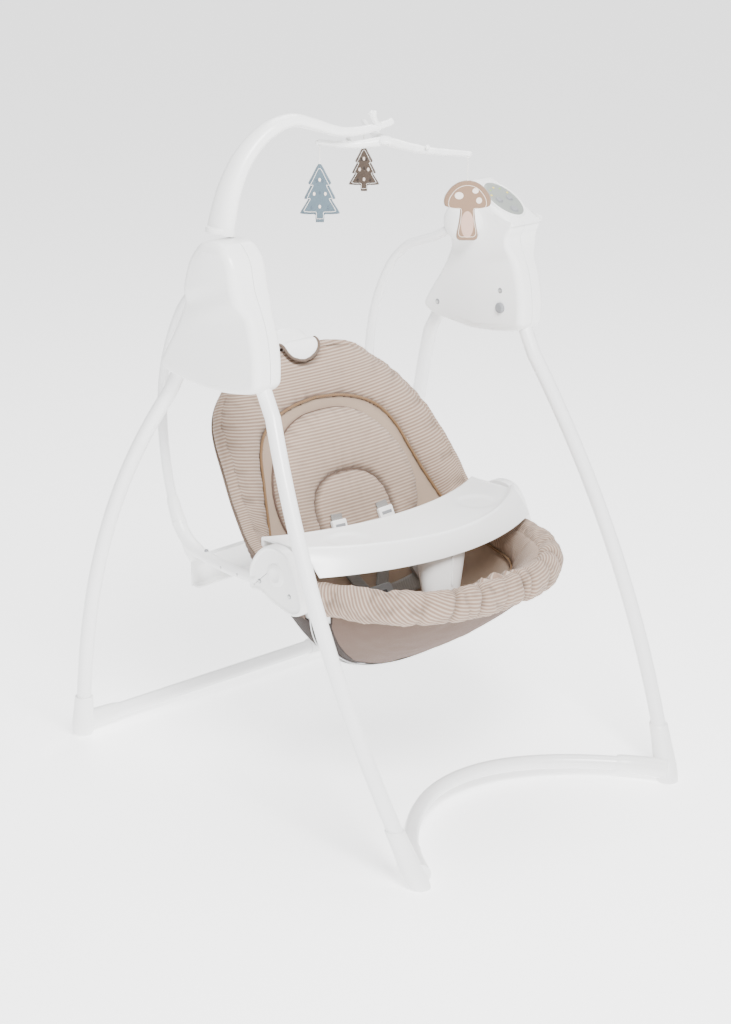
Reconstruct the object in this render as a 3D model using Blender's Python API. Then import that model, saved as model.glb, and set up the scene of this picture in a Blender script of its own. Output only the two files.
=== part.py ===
"""Infant swing: a folding A-frame with two hubs, a motor-driven hanging seat, a tray and a toy mobile.

Frame: +Z up, -Y is the side the child faces, +X is the motor side. The floor is z = 0 and the
origin is the middle of the footprint. Names end in _l on the -X side and in _r on the +X side.
All lengths are in metres.
"""
import math

import bmesh
import bpy
from mathutils import Vector

# ------------------------------------------------------------------ driving dimensions
GAP = 0.0004                 # clearance between touching pieces
LEG_RADIUS = 0.0127          # 25.4 mm steel leg tube
TUBE_WALL = 0.0012
ARM_RADIUS = 0.0085          # swing arm tube
BASE_Z = 0.022               # height of the floor tubes' centre lines
BASE_ARCH = 0.010            # rise of the front floor tube at its middle
LEG_START = 0.044            # height of the legs' lower ends, inside the feet
FRONT_LEG_TOP = 0.7585       # height of the front legs' upper ends, under the fold barrels
REAR_LEG_TOP = 0.806         # and of the rear legs', inside the hubs
SIDES = 10                   # flats round a tube
UP = (0, 0, 1)

HUB_X = 0.300                # parting plane of each hub
HUB_WALL = 0.0025
HUB_IN = 0.028               # hub body, from the parting plane to its inner face
HUB_OUT = 0.031              # and to its outer face
HEAD_IN = 0.036              # the same at the head
HEAD_OUT = 0.043

SWING_Y, SWING_Z = 0.036, 0.920      # swing axis, along X
FOLD_Y, FOLD_Z = -0.050, 0.776       # fold axis of the front legs, along X
RECLINE_Y, RECLINE_Z = -0.060, 0.390     # recline axis of the seat, along X
TRAY_Y, TRAY_Z = -0.006, 0.452       # tray hinge axis, along X
BRACKET_X = 0.2560           # inner face of the seat bracket

SEAT_HALF_WIDTH = 0.250
SHELL_WALL = 0.0035
PAD_THICK = 0.022

TOY_ARM_X, TOY_ARM_Y = -0.295, 0.038     # socket of the toy arm
MOBILE = Vector((0.0, -0.032, 1.104))    # middle of the mobile

# panel on the motor hub's head: middle of its face, and its outward normal
PANEL = Vector((0.3035, -0.0095, 0.9580))
PANEL_TILT = math.radians(30)
PANEL_N = Vector((0.0, -math.sin(PANEL_TILT), math.cos(PANEL_TILT)))
PANEL_A, PANEL_B = 0.045, 0.030          # half lengths up the slope and across

GEAR_TEETH, PINION_TEETH, GEAR_MODULE = 24, 8, 0.002
GEAR_Y, GEAR_Z = 0.036, 0.852


# ------------------------------------------------------------------ materials
MATERIALS = {
    "white_plastic": ((0.90, 0.90, 0.89), 0.35, 0.0),
    "white_tube": ((0.88, 0.88, 0.88), 0.30, 0.0),
    "grey_plastic": ((0.45, 0.46, 0.47), 0.45, 0.0),
    "panel_plastic": ((0.55, 0.56, 0.55), 0.35, 0.0),
    "yellow_plastic": ((0.80, 0.70, 0.25), 0.40, 0.0),
    "steel": ((0.60, 0.60, 0.60), 0.30, 1.0),
    "nylon": ((0.85, 0.84, 0.78), 0.50, 0.0),
    "circuit": ((0.10, 0.30, 0.15), 0.50, 0.0),
    "stripe_fabric": ((0.66, 0.57, 0.49), 0.90, 0.0),
    "insert_fabric": ((0.68, 0.59, 0.51), 0.90, 0.0),
    "skirt_fabric": ((0.45, 0.36, 0.32), 0.90, 0.0),
    "webbing": ((0.50, 0.49, 0.48), 0.85, 0.0),
    "toy_blue": ((0.38, 0.47, 0.52), 0.90, 0.0),
    "toy_brown": ((0.28, 0.22, 0.19), 0.90, 0.0),
    "toy_tan": ((0.55, 0.42, 0.33), 0.90, 0.0),
    "string": ((0.85, 0.83, 0.80), 0.90, 0.0),
}


def material(name):
    """A Principled material, made once."""
    found = bpy.data.materials.get(name)
    if found:
        return found
    colour, roughness, metallic = MATERIALS[name]
    made = bpy.data.materials.new(name)
    made.use_nodes = True
    shader = made.node_tree.nodes["Principled BSDF"]
    shader.inputs["Base Color"].default_value = (*colour, 1.0)
    shader.inputs["Roughness"].default_value = roughness
    shader.inputs["Metallic"].default_value = metallic
    return made


# ------------------------------------------------------------------ joint empties
EMPTIES = {}


def pivot(name, location, parent=None):
    """An empty on a joint's axis, to which that joint's pieces are parented."""
    empty = bpy.data.objects.new(name, None)
    bpy.context.scene.collection.objects.link(empty)
    empty.empty_display_size = 0.03
    if parent:
        empty.parent = EMPTIES[parent][0]
        empty.location = Vector(location) - EMPTIES[parent][1]
    else:
        empty.location = Vector(location)
    EMPTIES[name] = (empty, Vector(location))


# ------------------------------------------------------------------ mesh helpers
def piece(name, vertices, faces, slot, on=None, smooth=True):
    """A closed object from world-space vertices, parented to a joint empty."""
    origin = EMPTIES[on][1] if on else Vector((0, 0, 0))
    mesh = bpy.data.meshes.new(name)
    mesh.from_pydata([tuple(Vector(v) - origin) for v in vertices], [], faces)
    work = bmesh.new()
    work.from_mesh(mesh)
    bmesh.ops.recalc_face_normals(work, faces=work.faces)
    work.to_mesh(mesh)
    work.free()
    mesh.materials.append(material(slot))
    if smooth:
        mesh.shade_smooth()
        mesh.set_sharp_from_angle(angle=math.radians(35))
    made = bpy.data.objects.new(name, mesh)
    bpy.context.scene.collection.objects.link(made)
    if on:
        made.parent = EMPTIES[on][0]
    return made


def loft(rings, closed=False):
    """Vertices and faces through rings of equal length; its ends are capped unless closed."""
    count = len(rings[0])
    vertices = [p for ring in rings for p in ring]
    faces = []
    spans = len(rings) if closed else len(rings) - 1
    for i in range(spans):
        a, b = i * count, ((i + 1) % len(rings)) * count
        for j in range(count):
            k = (j + 1) % count
            faces.append((a + j, a + k, b + k, b + j))
    if not closed:
        faces.append(tuple(range(count)))
        faces.append(tuple(range((len(rings) - 1) * count, len(rings) * count)))
    return vertices, faces


def smooth_path(points, steps):
    """Catmull-Rom curve through the points, with the given number of steps in each span."""
    pts = [Vector(p) for p in points]
    pts = [2 * pts[0] - pts[1]] + pts + [2 * pts[-1] - pts[-2]]
    path = []
    for i in range(1, len(pts) - 2):
        p0, p1, p2, p3 = pts[i - 1:i + 3]
        for k in range(steps):
            t = k / steps
            path.append(0.5 * (2 * p1 + (p2 - p0) * t + (2 * p0 - 5 * p1 + 4 * p2 - p3) * t ** 2
                               + (3 * p1 - p0 - 3 * p2 + p3) * t ** 3))
    path.append(pts[-2])
    return path


def ring_frames(path, across=(1, 0, 0)):
    """Two cross directions at each point of a path, the first square to the given direction."""
    frames = []
    for i in range(len(path)):
        tangent = (path[min(i + 1, len(path) - 1)] - path[max(i - 1, 0)]).normalized()
        side = tangent.cross(Vector(across)).normalized()
        frames.append((side, tangent.cross(side)))
    return frames


def circle(centre, side, up, radius, sides, radius_up=None):
    """One ring of points."""
    ring = []
    for j in range(sides):
        angle = 2 * math.pi * j / sides
        ring.append(centre + side * radius * math.cos(angle)
                    + up * (radius_up or radius) * math.sin(angle))
    return ring


def pipe(name, path, outer, inner, slot, on=None, across=(1, 0, 0)):
    """A tube along a path, open at both ends, or a solid rod where inner is 0."""
    frames = ring_frames(path, across)
    rings = [circle(p, *f, outer, SIDES) for p, f in zip(path, frames)]
    if inner:
        rings += [circle(p, *f, inner, SIDES) for p, f in reversed(list(zip(path, frames)))]
    return piece(name, *loft(rings, closed=bool(inner)), slot, on)


def turned(name, start, direction, profile, sides, slot, on=None, closed=False):
    """A turned piece: profile is (distance along the axis, radius), from one end to the other."""
    axis = Vector(direction).normalized()
    side = axis.orthogonal().normalized()
    up = axis.cross(side)
    rings = [circle(Vector(start) + axis * d, side, up, r, sides) for d, r in profile]
    return piece(name, *loft(rings, closed=closed), slot, on)


def box(name, low, high, slot, on=None):
    """A plain box, used for boards, catches and cutters."""
    (x0, y0, z0), (x1, y1, z1) = low, high
    rings = []
    for z in (z0, z1):
        rings.append([Vector((x0, y0, z)), Vector((x1, y0, z)), Vector((x1, y1, z)), Vector((x0, y1, z))])
    return piece(name, *loft(rings), slot, on, smooth=False)


def boolean(target, tool, operation="DIFFERENCE"):
    """Adds a Boolean with a hidden tool, which the exact solver reads."""
    tool.name = f"{operation.lower()}_tool_{len(bpy.data.objects)}"
    tool.hide_render = True
    tool.display_type = "WIRE"
    change = target.modifiers.new(tool.name, "BOOLEAN")
    change.operation = operation
    change.solver = "EXACT"
    change.object = tool


# ------------------------------------------------------------------ legs, feet and floor tubes
def front_leg_point(z):
    """Centre of the front leg at a height: it leans back and bows outward."""
    t = z / 0.607
    x = 0.299 + 0.1363 * t - 0.1173 * t * t
    y = -0.4305 + 0.2615 * t + 0.0426 * t * t - 0.0119 * t ** 3
    return Vector((max(x, 0.3005) if z > 0.6 else x, y, z))


def rear_leg_point(z):
    """Centre of the rear leg at a height."""
    t = z / 0.607
    x = 0.3131 + 0.1886 * t - 0.1747 * t * t
    y = 0.4305 - 0.3020 * t + 0.2273 * t * t - 0.1448 * t ** 3
    return Vector((max(x, 0.3005) if z > 0.6 else x, y, z))


def mirrored(point, side):
    return Vector((point[0] * side, point[1], point[2]))


def leg_path(rule, high, side):
    """Stations up a leg, from inside its foot to inside its hub."""
    steps = 10
    return [mirrored(rule(LEG_START + (high - LEG_START) * i / steps), side) for i in range(steps + 1)]


def stretched(path, before, after):
    """The path made longer at its two ends, in line with them."""
    first = path[0] + (path[0] - path[1]).normalized() * before
    last = path[-1] + (path[-1] - path[-2]).normalized() * after
    return [first] + list(path[1:-1]) + [last]


def cutter(path, radius, on=None, across=(1, 0, 0)):
    """A solid rod along a path, for cutting a bore."""
    rings = [circle(p, *f, radius, SIDES) for p, f in zip(path, ring_frames(path, across))]
    return piece("tool", *loft(rings), "white_plastic", on)


def foot(name, leg_rule, base_path, side, on):
    """A moulded corner: a sleeve up the leg, a sleeve along the floor tube, and a flat sole."""
    heights = (0.0, 0.004, 0.030, 0.060, 0.088, 0.092)
    widths = (0.0150, 0.0185, 0.0195, 0.0172, 0.0160, 0.0145)
    outward = -1 if leg_rule is front_leg_point else 1
    rings = []
    for z, width in zip(heights, widths):
        centre = mirrored(leg_rule(z), side)
        rings.append(circle(centre, Vector((1, 0, 0)), Vector((0, outward, 0)), width, 12, width * 1.08))
    made = piece(name, *loft(rings), "white_plastic", on)
    boolean(made, cutter(base_path[:3], 0.0157, on, UP), "UNION")
    high = FRONT_LEG_TOP if leg_rule is front_leg_point else REAR_LEG_TOP
    leg = leg_path(leg_rule, high, side)
    boolean(made, cutter(stretched(leg[:2], 0.002, 0.0), LEG_RADIUS + GAP, on))
    boolean(made, cutter(stretched(base_path[1:4], 0.002, 0.0), LEG_RADIUS + GAP, on, UP))


def front_base_path():
    """The front floor tube bows back and a little up between the feet."""
    half = [(0.299, -0.431), (0.276, -0.3935), (0.252, -0.362), (0.2035, -0.313), (0.150, -0.272),
            (0.090, -0.2405), (0.030, -0.2255)]
    arch = [(x, y, BASE_Z + BASE_ARCH * (1 - (x / half[0][0]) ** 2)) for x, y in half]
    points = [Vector((-x, y, z)) for x, y, z in arch]
    points += [Vector((x, y, z)) for x, y, z in reversed(arch)]
    return points


def rear_base_path():
    half = (0.313, 0.290, 0.262, 0.230, 0.150, 0.050)
    xs = [-x for x in half] + [x for x in reversed(half)]
    return [Vector((x, 0.4305, BASE_Z)) for x in xs]


def build_stand():
    """Legs, feet and floor tubes. The front ones turn on the fold axis."""
    for tag, side in (("l", -1), ("r", 1)):
        pipe(f"rear_leg_{tag}", leg_path(rear_leg_point, REAR_LEG_TOP, side), LEG_RADIUS,
             LEG_RADIUS - TUBE_WALL, "white_tube")
        pipe(f"front_leg_{tag}", leg_path(front_leg_point, FRONT_LEG_TOP, side), LEG_RADIUS,
             LEG_RADIUS - TUBE_WALL, "white_tube", "fold_axis")
        base = front_base_path() if side < 0 else list(reversed(front_base_path()))
        foot(f"front_foot_{tag}", front_leg_point, base, side, "fold_axis")
        base = rear_base_path() if side < 0 else list(reversed(rear_base_path()))
        foot(f"rear_foot_{tag}", rear_leg_point, base, side, None)
        build_knuckle(tag, side)
    pipe("front_base_tube", front_base_path()[1:-1], LEG_RADIUS, LEG_RADIUS - TUBE_WALL,
         "white_tube", "fold_axis", UP)
    pipe("rear_base_tube", rear_base_path()[1:-1], LEG_RADIUS, LEG_RADIUS - TUBE_WALL, "white_tube",
         None, UP)


def build_knuckle(tag, side):
    """Barrel on top of the front leg, with a trunnion at each end that turns in the hub."""
    start = Vector((side * 0.2765, FOLD_Y, FOLD_Z))
    profile = [(0, 0.0055), (0.0055, 0.0055), (0.006, 0.0145), (0.0075, 0.0160), (0.0400, 0.0160),
               (0.0415, 0.0145), (0.0420, 0.0055), (0.0500, 0.0055)]
    turned(f"fold_knuckle_{tag}", start, (side, 0, 0), profile, 16, "grey_plastic", "fold_axis")


# ------------------------------------------------------------------ hubs
HUB_FRONT = [(0.026, 0.7245), (-0.012, 0.7275), (-0.046, 0.7325), (-0.070, 0.7385), (-0.083, 0.7480),
             (-0.0865, 0.7620), (-0.0855, 0.8000), (-0.0770, 0.8400), (-0.0640, 0.8720)]
HUB_REAR = [(0.050, 0.7245), (0.086, 0.7275), (0.118, 0.7310), (0.143, 0.7360), (0.1560, 0.7445),
            (0.1575, 0.7560), (0.1400, 0.7840), (0.1160, 0.8180), (0.0980, 0.8500)]
ROUND_HEAD_FRONT = [(-0.0520, 0.8970), (-0.0470, 0.9180), (-0.0420, 0.9400), (-0.0300, 0.9590), (-0.0110, 0.9715)]
ROUND_HEAD_REAR = [(0.0860, 0.8800), (0.0780, 0.9080), (0.0680, 0.9340), (0.0520, 0.9560), (0.0310, 0.9705)]
PANEL_HEAD_FRONT = [(-0.0560, 0.8900), (-0.0560, 0.9020), (-0.0620, 0.9130), (-0.0635, 0.9220), (-0.0580, 0.9300)]
PANEL_HEAD_REAR = [(0.0880, 0.8800), (0.0860, 0.9080), (0.0830, 0.9400), (0.0700, 0.9680), (0.0500, 0.9830)]


def hub_outline(front, rear):
    """Side view of a hub as (y, z), up the front and down the rear."""
    return [Vector((0, y, z)) for y, z in front] + [Vector((0, y, z)) for y, z in reversed(rear)]


def inset(outline, distance):
    """The outline moved inwards by a distance at every corner."""
    count = len(outline)
    moved = []
    for i, p in enumerate(outline):
        before = (p - outline[i - 1]).normalized()
        after = (outline[(i + 1) % count] - p).normalized()
        inward = Vector((0, before.z + after.z, -before.y - after.y)).normalized()
        bend = max(inward.dot(Vector((0, before.z, -before.y))), 0.5)
        moved.append(p + inward * (distance / bend))
    return moved


def head_blend(z):
    """0 on the hub's body, 1 on its head, smooth between."""
    t = min(max((z - 0.862) / 0.032, 0.0), 1.0)
    return t * t * (3 - 2 * t)


def hub_half(name, outline, side, outward):
    """One half of a hub: a cup open at the parting plane, its face set back to its depth."""
    body, head = (HUB_OUT, HEAD_OUT) if outward > 0 else (HUB_IN, HEAD_IN)
    fillet = 0.009

    def ring(distance, share, depth_loss):
        points = []
        for p, q in zip(inset(outline, distance), outline):
            depth = body + (head - body) * head_blend(q.z) - depth_loss
            x = HUB_X + outward * (GAP / 2 + (depth - GAP / 2) * share)
            points.append(Vector((side * x, p.y, p.z)))
        return points

    rings = [ring(fillet, 1, 0), ring(fillet * 0.3, 1, fillet * 0.3), ring(0, 1, fillet), ring(0, 0, 0),
             ring(HUB_WALL, 0, 0), ring(HUB_WALL, 1, fillet), ring(fillet, 1, HUB_WALL)]
    vertices, faces = loft(rings)
    faces = faces[:-2]
    count = len(outline)
    for start in (0, (len(rings) - 1) * count):
        for i in range(count // 2 - 1):
            j = count - 1 - i
            faces.append((start + i, start + i + 1, start + j - 1, start + j))
    return piece(name, vertices, faces, "white_plastic")


def build_hub(tag, side):
    """Both halves of one hub, with their openings, and the bush of the swing shaft."""
    if side > 0:
        outline = hub_outline(HUB_FRONT + PANEL_HEAD_FRONT, HUB_REAR + PANEL_HEAD_REAR)
    else:
        outline = hub_outline(HUB_FRONT + ROUND_HEAD_FRONT, HUB_REAR + ROUND_HEAD_REAR)
    inner = hub_half(f"hub_inner_{tag}", outline, side, -1)
    outer = hub_half(f"hub_outer_{tag}", outline, side, 1)
    for half in (inner, outer):
        boolean(half, box("tool", (side * 0.3005 - 0.0150, -0.083, 0.700),
                          (side * 0.3005 + 0.0150, -0.018, 0.7530), "white_plastic"))
        boolean(half, cutter(leg_path(rear_leg_point, REAR_LEG_TOP, side)[8:], LEG_RADIUS + 0.0008))
    shaft_hole = turned("tool", (side * 0.250, SWING_Y, SWING_Z), (side, 0, 0),
                        [(0, 0.0104), (0.030, 0.0104)], 16, "white_plastic")
    boolean(inner, shaft_hole)
    button_hole = turned("tool", (side * 0.262, FOLD_Y + 0.012, FOLD_Z), (side, 0, 0),
                         [(0, 0.0098), (0.0135, 0.0098)], 16, "white_plastic")
    boolean(inner, button_hole)
    turned(f"swing_bush_{tag}", (side * 0.2635, SWING_Y, SWING_Z), (side, 0, 0),
           [(0, 0.0100), (0.012, 0.0100), (0.012, 0.0064), (0, 0.0064)], 16, "nylon", closed=True)
    turned(f"fold_button_{tag}", (side * 0.2650, FOLD_Y + 0.012, FOLD_Z), (side, 0, 0),
           [(0, 0.0070), (0.0015, 0.0092), (0.0085, 0.0092)], 16, "grey_plastic", f"fold_button_{tag}_axis")
    return inner, outer


def build_hubs():
    build_hub("l", -1)
    inner, outer = build_hub("r", 1)
    across = Vector((1, 0, 0))
    slope = PANEL_N.cross(across)

    def oval(depth, grow):
        return circle(PANEL + PANEL_N * depth, across, slope, PANEL_B + grow, 24, PANEL_A + grow)

    for half in (inner, outer):
        boolean(half, piece("tool", *loft([oval(-0.0075, GAP), oval(0.020, GAP)]), "white_plastic"))
    plate = piece("control_panel", *loft([oval(-0.0070, 0), oval(0.0010, 0), oval(0.0022, -0.0015)]),
                  "panel_plastic")
    buttons = (("power_button", 0.0000, -0.0290, 0.0068, "yellow_plastic"),
               ("music_button", -0.0125, -0.0010, 0.0058, "grey_plastic"),
               ("timer_button", 0.0125, -0.0010, 0.0058, "grey_plastic"))
    for name, u, v, radius, slot in buttons:
        foot_point = PANEL + across * u + slope * v - PANEL_N * 0.0065
        boolean(plate, turned("tool", foot_point - PANEL_N * 0.004, PANEL_N,
                              [(0, radius + GAP), (0.016, radius + GAP)], 14, "white_plastic"))
        turned(name, foot_point, PANEL_N, [(0, radius), (0.0100, radius), (0.0108, radius - 0.0010)], 14,
               slot, f"{name}_axis")
    build_drive(outer)


def gear_outline(teeth, module, phase):
    """Gear teeth as points (a, b) about the gear's middle, with play for the mating gear."""
    pitch = teeth * module / 2
    points = []
    for i in range(teeth):
        for share, radius in ((-0.27, pitch - 1.15 * module), (-0.11, pitch + 0.85 * module),
                              (0.11, pitch + 0.85 * module), (0.27, pitch - 1.15 * module)):
            angle = 2 * math.pi * (i + share + phase) / teeth
            points.append((radius * math.cos(angle), radius * math.sin(angle)))
    return points


def gear(name, teeth, phase, y, z, x0, x1, slot, on):
    outline = gear_outline(teeth, GEAR_MODULE, phase)
    rings = [[Vector((x, y + a, z + b)) for a, b in outline] for x in (x0, x1)]
    return piece(name, *loft(rings), slot, on, smooth=False)


def build_drive(outer):
    """What the motor hub holds: motor, pinion, drive gear, circuit board and the battery door."""
    pinion_y = GEAR_Y - GEAR_MODULE * (GEAR_TEETH + PINION_TEETH) / 2
    gear("drive_gear", GEAR_TEETH, 0.0, GEAR_Y, GEAR_Z, 0.2990, 0.3050, "nylon", "gear_axis")
    gear("motor_pinion", PINION_TEETH, 0.5, pinion_y, GEAR_Z, 0.2990, 0.3050, "steel", "pinion_axis")
    turned("motor", (0.3062, pinion_y, GEAR_Z), (1, 0, 0),
           [(0, 0.0030), (0.0008, 0.0030), (0.0010, 0.0130), (0.0190, 0.0130), (0.0195, 0.0120)], 16, "steel")
    box("circuit_board", (0.2795, -0.018, 0.902), (0.2811, 0.020, 0.930), "circuit")
    cut = box("tool", (0.322, -0.022, 0.7560), (0.340, 0.100, 0.8080), "white_plastic")
    boolean(outer, cut)
    door = box("battery_door", (0.3285, -0.0216, 0.7564), (0.3318, 0.0996, 0.8076), "white_plastic")
    bevel = door.modifiers.new("edges", "BEVEL")
    bevel.width = 0.0006
    bevel.segments = 1


# ------------------------------------------------------------------ hanging frame of the seat
def arm_points(side):
    """Arm and seat tube in one line: back from the hub, down behind the seat, then forward."""
    route = [(0.2400, 0.058, 0.905), (0.2400, 0.088, 0.889), (0.2400, 0.130, 0.873), (0.2400, 0.167, 0.857),
             (0.2400, 0.208, 0.816), (0.2405, 0.240, 0.755), (0.2415, 0.259, 0.690), (0.2420, 0.265, 0.620),
             (0.2420, 0.260, 0.550), (0.2420, 0.246, 0.485), (0.2425, 0.222, 0.430), (0.2440, 0.190, 0.403),
             (0.2490, 0.145, 0.395), (0.2580, 0.085, 0.395), (0.2645, 0.035, 0.397), (0.2650, -0.010, 0.399)]
    return [mirrored(p, side) for p in route]


def build_swing_frame():
    """Shafts, collars, arms, seat tubes, rear brace and seat brackets."""
    for tag, side in (("l", -1), ("r", 1)):
        turned(f"swing_shaft_{tag}", (side * 0.2340, SWING_Y, SWING_Z), (side, 0, 0),
               [(0, 0.0060), (0.0560, 0.0060), (0.0560, 0.0085), (0.0600, 0.0085)], 16, "steel", "swing_axis")
        collar = turned(f"arm_collar_{tag}", (side * 0.2235, SWING_Y, SWING_Z), (side, 0, 0),
                        [(0, 0.0180), (0.0030, 0.0250), (0.0090, 0.0310), (0.0200, 0.0340), (0.0395, 0.0345)],
                        20, "white_plastic", "swing_axis")
        boolean(collar, turned("tool", (side * 0.2336, SWING_Y, SWING_Z), (side, 0, 0),
                               [(0, 0.0063), (0.040, 0.0063)], 16, "white_plastic", "swing_axis"))
        whole = arm_points(side)
        boolean(collar, cutter(stretched(whole[:3], 0.002, 0.0), ARM_RADIUS + GAP, "swing_axis"))
        pipe(f"swing_arm_{tag}", whole[:12], ARM_RADIUS, ARM_RADIUS - TUBE_WALL, "white_tube",
             "swing_axis")
        build_seat_tube(tag, side, whole)
        build_bracket(tag, side)
    build_brace()


def build_seat_tube(tag, side, whole):
    """The elbow sleeve and the tube that carries the seat, with its snap button."""
    path = whole[9:]
    path[0] = path[0].lerp(path[1], 0.2)
    frames = ring_frames(path)
    radii = [0.0108, 0.0117, 0.0120, 0.0110] + [0.0100] * 3
    rings = [circle(p, *f, r, SIDES) for p, f, r in zip(path, frames, radii)]
    bores = [ARM_RADIUS + GAP] * 3 + [ARM_RADIUS - TUBE_WALL] * 4
    inner = [circle(p, *f, r, SIDES) for p, f, r in zip(path, frames, bores)]
    made = piece(f"seat_tube_{tag}", *loft(rings + inner[::-1], closed=True), "white_plastic", "swing_axis")
    seat = SNAP[tag][0]
    normal = SNAP[tag][1]
    boolean(made, turned("tool", seat - normal * 0.0080, normal, [(0, 0.0044), (0.014, 0.0044)], 12,
                         "white_plastic", "swing_axis"))
    turned(f"snap_button_{tag}", seat - normal * 0.0016, normal,
           [(0, 0.0040), (0.0030, 0.0040), (0.0055, 0.0026)], 12, "grey_plastic", f"snap_{tag}_axis")


SNAP = {}


def place_snap_buttons():
    """Each snap button stands in the elbow sleeve, on the side away from the seat."""
    for tag, side in (("l", -1), ("r", 1)):
        whole = arm_points(side)
        SNAP[tag] = (whole[12] + Vector((0, 0, 0.0092)), Vector((0, 0, 1)))


def build_bracket(tag, side):
    """Moulded plate beside the seat: the seat tube ends in it and the seat turns on it."""
    outline = [(0.002, 0.383), (0.004, 0.418), (-0.018, 0.452), (-0.048, 0.468), (-0.086, 0.462),
               (-0.112, 0.425), (-0.126, 0.378), (-0.104, 0.360), (-0.060, 0.368), (-0.024, 0.382)]
    levels = ((0.0, 0.0015), (0.0015, 0.0), (0.0165, 0.0), (0.0185, 0.003))
    base = [Vector((0, y, z)) for y, z in outline]
    rings = []
    for depth, shrink in levels:
        rings.append([Vector((side * (BRACKET_X + depth), p.y, p.z)) for p in inset(base, -shrink)])
    made = piece(f"seat_bracket_{tag}", *loft(rings), "white_plastic", "swing_axis")
    boolean(made, turned("tool", (side * (BRACKET_X - 0.002), RECLINE_Y, RECLINE_Z), (side, 0, 0),
                         [(0, 0.0094), (0.0125, 0.0094)], 14, "white_plastic", "swing_axis"))
    path = arm_points(side)[13:]
    boolean(made, cutter(stretched(path, 0.0, 0.001), 0.0100 + 2 * GAP, "swing_axis"))


def build_brace():
    """Channel across the back, between the two elbows, open to the front."""
    stations = 13
    section = [(0.000, 0.000), (0.000, 0.052), (-0.016, 0.052), (-0.016, 0.0490), (-0.003, 0.0490),
               (-0.003, 0.003), (-0.020, 0.003), (-0.020, 0.000)]
    rings = []
    for i in range(stations):
        share = 2 * i / (stations - 1) - 1
        x = 0.2290 * share
        y = 0.2130 - 0.012 * (1 - share * share)
        z = 0.3200 + 0.010 * (1 - share * share)
        rings.append([Vector((x, y + dy, z + dz)) for dy, dz in section])
    piece("rear_brace", *loft(rings), "white_plastic", "swing_axis")


# ------------------------------------------------------------------ seat
RIM = [(0.190, 0.706), (0.184, 0.657), (0.154, 0.612), (0.100, 0.552), (0.056, 0.492), (0.014, 0.440),
       (-0.050, 0.410), (-0.120, 0.400), (-0.190, 0.400), (-0.258, 0.400), (-0.305, 0.396)]
KEEL = [(0.190, 0.706), (0.172, 0.650), (0.145, 0.592), (0.115, 0.525), (0.084, 0.455), (0.044, 0.370),
        (-0.004, 0.282), (-0.060, 0.218), (-0.145, 0.254), (-0.235, 0.316), (-0.305, 0.396)]
ROWS, COLUMNS = 16, 10


def along(points, u):
    """A smooth curve through equally spaced (y, z) points, at u from 0 to 1."""
    span = u * (len(points) - 1)
    i = min(int(span), len(points) - 2)
    t = span - i
    p0, p1, p2, p3 = (Vector(points[min(max(k, 0), len(points) - 1)]) for k in (i - 1, i, i + 1, i + 2))
    return 0.5 * (2 * p1 + (p2 - p0) * t + (2 * p0 - 5 * p1 + 4 * p2 - p3) * t ** 2
                  + (3 * p1 - p0 - 3 * p2 + p3) * t ** 3)


def bowl(u, v):
    """The seat's inner face: u runs from the head end to the knees, v from side to side."""
    width = SEAT_HALF_WIDTH * max(1 - abs(2 * u - 1) ** 2.3, 0.0) ** (1 / 2.3)
    angle = v * math.pi / 2
    across = math.copysign(abs(math.sin(angle)) ** 0.85, angle)
    rim, keel = along(RIM, u), along(KEEL, u)
    centre = keel + (rim - keel) * (1 - math.cos(angle))
    return Vector((width * across, centre[0], centre[1]))


def bowl_offset(u, v, distance):
    """A point that far inside the bowl's face."""
    u0, u1 = max(u - 0.01, 0.002), min(u + 0.01, 0.998)
    v0, v1 = max(v - 0.02, -1), min(v + 0.02, 1)
    normal = (bowl(u, v1) - bowl(u, v0)).cross(bowl(u1, v) - bowl(u0, v)).normalized()
    return bowl(u, v) - normal * distance


def bowl_sheet(name, rows, columns, low, high, slot, on):
    """A closed layer on the bowl between two offsets, over a range of its grid."""
    us = [min(max(i / ROWS, 0.004), 0.996) for i in range(rows[0], rows[1] + 1)]
    vs = [j / COLUMNS for j in range(columns[0], columns[1] + 1)]
    rings = []
    for u in us:
        ring = [bowl_offset(u, v, low) for v in vs] + [bowl_offset(u, v, high) for v in reversed(vs)]
        rings.append(ring)
    count, last = len(vs), len(rings) - 1
    vertices = [p for ring in rings for p in ring]
    faces = []
    for i in range(last):
        a, b = i * 2 * count, (i + 1) * 2 * count
        for j in range(count - 1):
            faces += [(a + j, a + j + 1, b + j + 1), (a + j, b + j + 1, b + j)]
            m, n = a + 2 * count - 1 - j, b + 2 * count - 1 - j
            faces += [(m, n, n - 1), (m, n - 1, m - 1)]
        faces.append((a + count - 1, a + count, b + count, b + count - 1))
        faces.append((a, b, b + 2 * count - 1, a + 2 * count - 1))
    for start in (0, last * 2 * count):
        for j in range(count - 1):
            k = 2 * count - 1 - j
            faces.append((start + j, start + j + 1, start + k - 1, start + k))
    return piece(name, vertices, faces, slot, on)


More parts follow.
